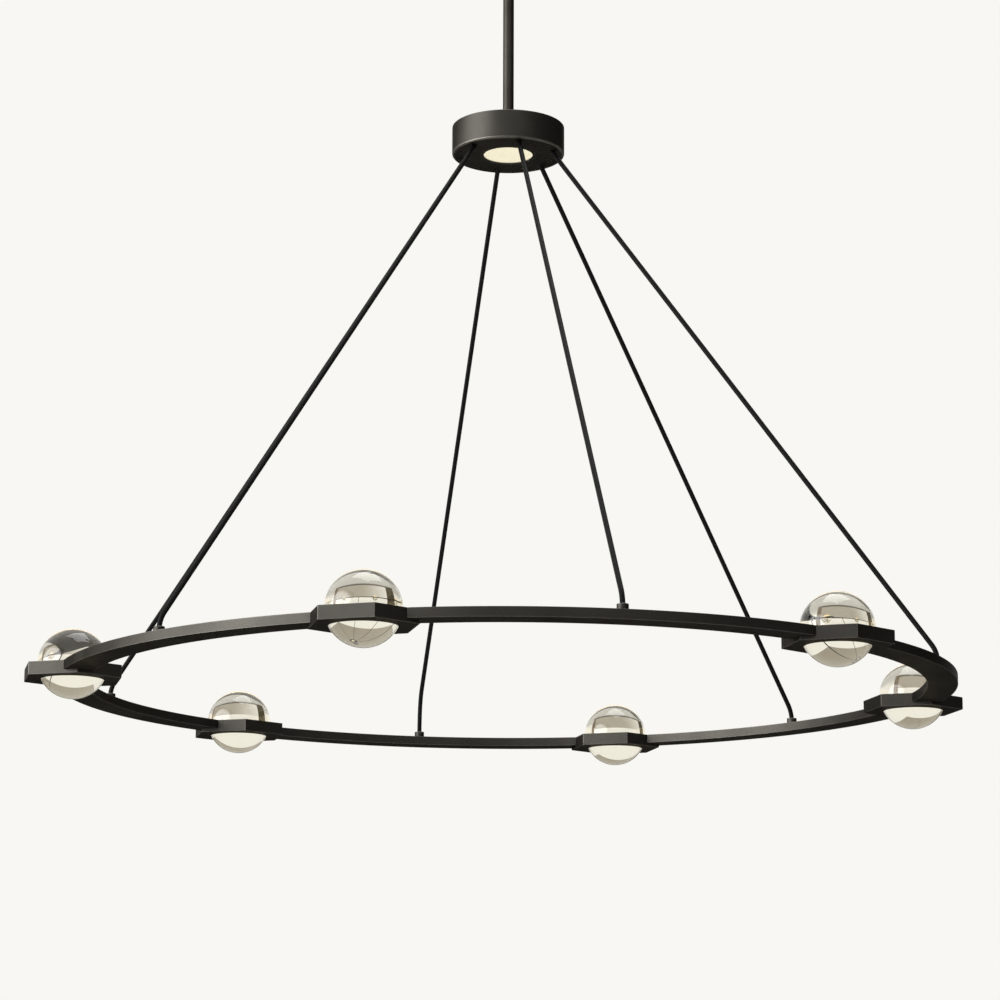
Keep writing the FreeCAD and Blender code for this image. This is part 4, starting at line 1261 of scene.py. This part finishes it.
class CHANDELIER_OT_stage(bpy.types.Operator):
    """Set the pale floor, the soft lamps and the background"""
    bl_idname = "chandelier.stage"
    bl_label = "Stage"

    FLOOR_SIZE = 30
    EVEN_SHARE = 0.6            # of the floor's tone in camera rays
    FADE = (3.5, 12.0)          # the floor fades into the background
    FILL = 0.5                  # light of the world on the object
    LAMP_PLACE = Vector((0.3, 0.2, 2.8))
    LAMP_SIZE = 2.8
    LAMP_POWER = 75.0

    def lay_floor(self, studio, colour):
        """A pale floor, even in tone, that can't be seen from below."""
        bpy.ops.mesh.primitive_plane_add(size=self.FLOOR_SIZE,
                                         location=(0, 0, -studio.floor_drop))
        floor = added("studio_floor")
        material, tree, principled = new_material("pale_floor")
        speckle = textured(
            tree, principled, "Moulded Texture",
            {"Dark": shade(colour[:3], 0.97), "Light": colour, "Scale": 6.0,
             "Roughness Low": 0.7, "Roughness High": 0.8})
        tree.links.new(speckle.outputs["Roughness"], principled.inputs["Roughness"])
        principled.inputs["Specular IOR Level"].default_value = 0.0
        even = node(tree, "ShaderNodeEmission", Color=colour)
        path = node(tree, "ShaderNodeLightPath")
        place = node(tree, "ShaderNodeTexCoord")
        out_from_middle = linked(tree, "ShaderNodeVectorMath", (place.outputs["Object"],),
                                 operation="LENGTH")
        far = ramp(tree, out_from_middle.outputs["Value"], self.FADE,
                   interpolation_type="SMOOTHSTEP")
        share = math_node(tree, "MULTIPLY", path.outputs["Is Camera Ray"], self.EVEN_SHARE)
        share = math_node(tree, "MAXIMUM", share, far.outputs[0])
        lifted = linked(tree, "ShaderNodeMixShader",
                        (share, principled.outputs[0], even.outputs[0]))
        under = node(tree, "ShaderNodeBsdfTransparent")
        shape = node(tree, "ShaderNodeNewGeometry")
        mix = linked(tree, "ShaderNodeMixShader",
                     (shape.outputs["Backfacing"], lifted.outputs[0], under.outputs[0]))
        tree.links.new(mix.outputs[0], tree.nodes["Material Output"].inputs["Surface"])
        floor.data.materials.append(material)

    def set_world(self, scene, colour):
        """The background for camera, metal and glass, and a weaker even light."""
        scene.world = bpy.data.worlds.new("Studio")
        scene.world.use_nodes = True
        tree = scene.world.node_tree
        back = tree.nodes["Background"]
        back.inputs["Color"].default_value = colour
        back.inputs["Strength"].default_value = 1.0
        soft = node(tree, "ShaderNodeBackground", Color=(1.0, 1.0, 1.0, 1.0),
                    Strength=self.FILL)
        path = node(tree, "ShaderNodeLightPath")
        seen = math_node(tree, "MAXIMUM", path.outputs["Is Camera Ray"],
                         path.outputs["Is Glossy Ray"])
        seen = math_node(tree, "MAXIMUM", seen, path.outputs["Is Transmission Ray"])
        mix = linked(tree, "ShaderNodeMixShader",
                     (seen, soft.outputs[0], back.outputs[0]))
        tree.links.new(mix.outputs[0], tree.nodes["World Output"].inputs["Surface"])

    def hang_lamp(self, scene):
        """A wide soft lamp above, turned to the middle of the chandelier."""
        data = bpy.data.lights.new("Top soft box", "AREA")
        data.shape = "RECTANGLE"
        data.size = data.size_y = self.LAMP_SIZE
        data.energy = self.LAMP_POWER
        lamp = bpy.data.objects.new("Top soft box", data)
        scene.collection.objects.link(lamp)
        lamp.location = self.LAMP_PLACE
        aim = Vector((0, 0, ORB_CENTRE.z / 2)) - self.LAMP_PLACE
        lamp.rotation_euler = aim.to_track_quat("-Z", "Y").to_euler()

    def execute(self, context):
        studio = context.scene.chandelier_studio
        colour = tuple(studio.background) + (1.0,)
        self.lay_floor(studio, colour)
        self.set_world(context.scene, colour)
        self.hang_lamp(context.scene)
        context.scene.view_settings.view_transform = "Standard"
        return {"FINISHED"}


def card_material(name, dark, light, reach):
    """An even glow that fades from dark to light towards -X."""
    material, tree, glow = glowing(name)
    place = node(tree, "ShaderNodeTexCoord")
    split = linked(tree, "ShaderNodeSeparateXYZ", (place.outputs["Object"],))
    fade = ramp(tree, split.outputs["X"], reach, interpolation_type="SMOOTHSTEP")
    blend = node(tree, "ShaderNodeMix", data_type="RGBA")
    blend.inputs[MIX_LOW].default_value = shade(dark, 1)
    blend.inputs[MIX_HIGH].default_value = shade(light, 1)
    tree.links.new(fade.outputs[0], blend.inputs[MIX_SHARE])
    tree.links.new(blend.outputs[MIX_COLOUR], glow.inputs["Color"])
    return material


def soft_box(name, place, aim, width, height, power, fade_start):
    """A large soft lamp for metal: a glowing panel, brightest in its middle."""
    bpy.ops.mesh.primitive_plane_add(size=1)
    panel = added(name)
    panel.scale = (width, height, 1)
    settle(panel)
    panel.location = place
    panel.rotation_euler = (aim - place).to_track_quat("Z", "Y").to_euler()
    material, tree, glow = glowing(name)
    spot = node(tree, "ShaderNodeTexCoord")
    scaled = linked(tree, "ShaderNodeVectorMath", (spot.outputs["Object"],),
                    operation="MULTIPLY")
    scaled.inputs[1].default_value = (2 / width, 2 / height, 0)
    far = linked(tree, "ShaderNodeVectorMath", (scaled.outputs[0],), operation="LENGTH")
    fade = ramp(tree, far.outputs["Value"], (1.0, fade_start),
                interpolation_type="SMOOTHSTEP")
    back = node(tree, "ShaderNodeNewGeometry")
    front = math_node(tree, "SUBTRACT", 1.0, back.outputs["Backfacing"])
    strength = math_node(tree, "MULTIPLY", fade.outputs[0], front)
    strength = math_node(tree, "MULTIPLY", strength, power)
    tree.links.new(strength, glow.inputs["Strength"])
    panel.data.materials.append(material)
    panel.visible_camera = False
    panel.visible_diffuse = False
    panel.visible_transmission = False
    panel.visible_shadow = False


def stage_card(card, material, seen_in_glass, seen_in_metal):
    """A studio card that neither lights the object nor shows behind it."""
    card.data.materials.append(material)
    card.visible_camera = False
    card.visible_diffuse = False
    card.visible_shadow = False
    card.visible_volume_scatter = False
    card.visible_transmission = seen_in_glass
    card.visible_glossy = seen_in_metal


BAND_SIDES = 120


def standing_band(name, radius, bottom, top, first, last):
    """An upright band bent round the object between two headings in degrees."""
    bpy.ops.mesh.primitive_circle_add(vertices=BAND_SIDES, radius=radius,
                                      fill_type="NOTHING", location=(0, 0, bottom))
    band = added(name)
    settle(band)
    open_edit("EDGE")
    pick("edges", lambda e: (math.degrees(math.atan2(
        edge_middle(e).y, edge_middle(e).x)) - first) % 360 > last - first)
    bpy.ops.mesh.delete(type="EDGE")
    bpy.ops.mesh.select_all(action="SELECT")
    extrude(top - bottom)
    bpy.ops.object.mode_set(mode="OBJECT")
    smooth(band)
    return band


class CHANDELIER_OT_cards(bpy.types.Operator):
    """Stand the cards that the glass and the metal show: wall, foot, posts and flags"""
    bl_idname = "chandelier.cards"
    bl_label = "Cards"

    WALL_RADIUS = 4.5
    WALL_TOP, POST_TOP = -1.25, -0.75
    FOOT_HEIGHT = 0.24
    ABOVE_FLOOR = 0.005
    REACH = (1.0, -2.0)
    # Name, heading from and to, colour on the right and on the left.
    WALL = ("wall_card", 45, 112, (0.43, 0.395, 0.335), (0.86, 0.85, 0.82))
    FOOT = ("wall_foot_card", 45, 112, (0.12, 0.11, 0.085), (0.20, 0.19, 0.15))
    POSTS = (("right_post_card", 39, 45, (0.20, 0.15, 0.10), (0.20, 0.15, 0.10)),
             ("left_post_card", 112, 127, (0.08, 0.07, 0.04), (0.08, 0.07, 0.04)))
    CEILING, CEILING_HEIGHT = 3.0, 0.06
    CEILING_REACH = (1.5, -1.5)
    CEILING_TONES = ((0.33, 0.295, 0.235), (0.41, 0.375, 0.31))
    BOX_PLACE, BOX_AIM = Vector((-5.4, -0.9, 0.1)), Vector((0, 0, -0.75))
    BOX_SIZE, BOX_POWER, BOX_FADE = (9.0, 6.0), 6.4, 0.55
    FLAG_RADIUS = 7.2
    FLAG_ABOVE_FLOOR = 0.01
    FLAG_REACH = (3.0, -6.0)
    # Name, heading from and to, top, colour on the right and on the left.
    FLAGS = (("front_flag", 225, 298, 0.5, (0.10, 0.098, 0.095), (0.20, 0.196, 0.19)),
             ("side_flag", 298, 400, 5.5, (0.10, 0.098, 0.095), (0.20, 0.196, 0.19)),
             ("back_flag", 40, 225, -1.1, (0.01, 0.01, 0.01), (0.02, 0.02, 0.02)))

    def wall_piece(self, card, bottom, top):
        """A part of the wall that only the glass shows."""
        name, first, last, dark, light = card
        band = standing_band(name, self.WALL_RADIUS, bottom, top, first, last)
        stage_card(band, card_material(name, dark, light, self.REACH), True, False)

    def execute(self, context):
        floor = -context.scene.chandelier_studio.floor_drop
        self.wall_piece(self.WALL, floor + self.FOOT_HEIGHT, self.WALL_TOP)
        self.wall_piece(self.FOOT, floor + self.ABOVE_FLOOR, floor + self.FOOT_HEIGHT)
        for post in self.POSTS:
            self.wall_piece(post, floor + self.ABOVE_FLOOR, self.POST_TOP)
        bpy.ops.mesh.primitive_plane_add(size=self.CEILING,
                                         location=(0, 0, self.CEILING_HEIGHT))
        ceiling = added("ceiling_card")
        settle(ceiling)
        stage_card(ceiling, card_material("ceiling_glow", *self.CEILING_TONES,
                                          self.CEILING_REACH), True, False)
        soft_box("left_soft_box", self.BOX_PLACE, self.BOX_AIM, *self.BOX_SIZE,
                 self.BOX_POWER, self.BOX_FADE)
        for name, first, last, top, dark, light in self.FLAGS:
            flag = standing_band(name, self.FLAG_RADIUS, floor + self.FLAG_ABOVE_FLOOR, top,
                                 first, last)
            stage_card(flag, card_material(name, dark, light, self.FLAG_REACH), False, True)
        return {"FINISHED"}


STEPS = (
    CHANDELIER_OT_camera, CHANDELIER_OT_cables, CHANDELIER_OT_stem, CHANDELIER_OT_canopy,
    CHANDELIER_OT_bracket, CHANDELIER_OT_cap_nuts, CHANDELIER_OT_hub, CHANDELIER_OT_plate,
    CHANDELIER_OT_bezel, CHANDELIER_OT_lens, CHANDELIER_OT_holders, CHANDELIER_OT_ring,
    CHANDELIER_OT_feet, CHANDELIER_OT_screws, CHANDELIER_OT_orbs, CHANDELIER_OT_lights,
    CHANDELIER_OT_solids, CHANDELIER_OT_stage, CHANDELIER_OT_cards,
)


class CHANDELIER_PT_panel(bpy.types.Panel):
    """Sizes, colours and steps of the chandelier"""
    bl_idname = "CHANDELIER_PT_panel"
    bl_label = "Ring chandelier"
    bl_space_type = "VIEW_3D"
    bl_region_type = "UI"
    bl_category = "Chandelier"

    def draw(self, context):
        for settings in (context.scene.chandelier_hanging, context.scene.chandelier_orbs,
                         context.scene.chandelier_studio):
            column = self.layout.column(align=True)
            for name in settings.__annotations__:
                column.prop(settings, name)
        for step in STEPS:
            self.layout.operator(step.bl_idname)


CLASSES = (HangingSettings, OrbSettings, StudioSettings) + STEPS + (CHANDELIER_PT_panel,)


def register():
    for made in CLASSES:
        bpy.utils.register_class(made)
    bpy.types.Scene.chandelier_hanging = PointerProperty(type=HangingSettings)
    bpy.types.Scene.chandelier_orbs = PointerProperty(type=OrbSettings)
    bpy.types.Scene.chandelier_studio = PointerProperty(type=StudioSettings)


def unregister():
    del bpy.types.Scene.chandelier_studio
    del bpy.types.Scene.chandelier_orbs
    del bpy.types.Scene.chandelier_hanging
    for made in reversed(CLASSES):
        bpy.utils.unregister_class(made)


def main():
    register()
    for step in STEPS:
        group, name = step.bl_idname.split(".")
        deselect()
        getattr(getattr(bpy.ops, group), name)()
    deselect()


if __name__ == "__main__":
    main()
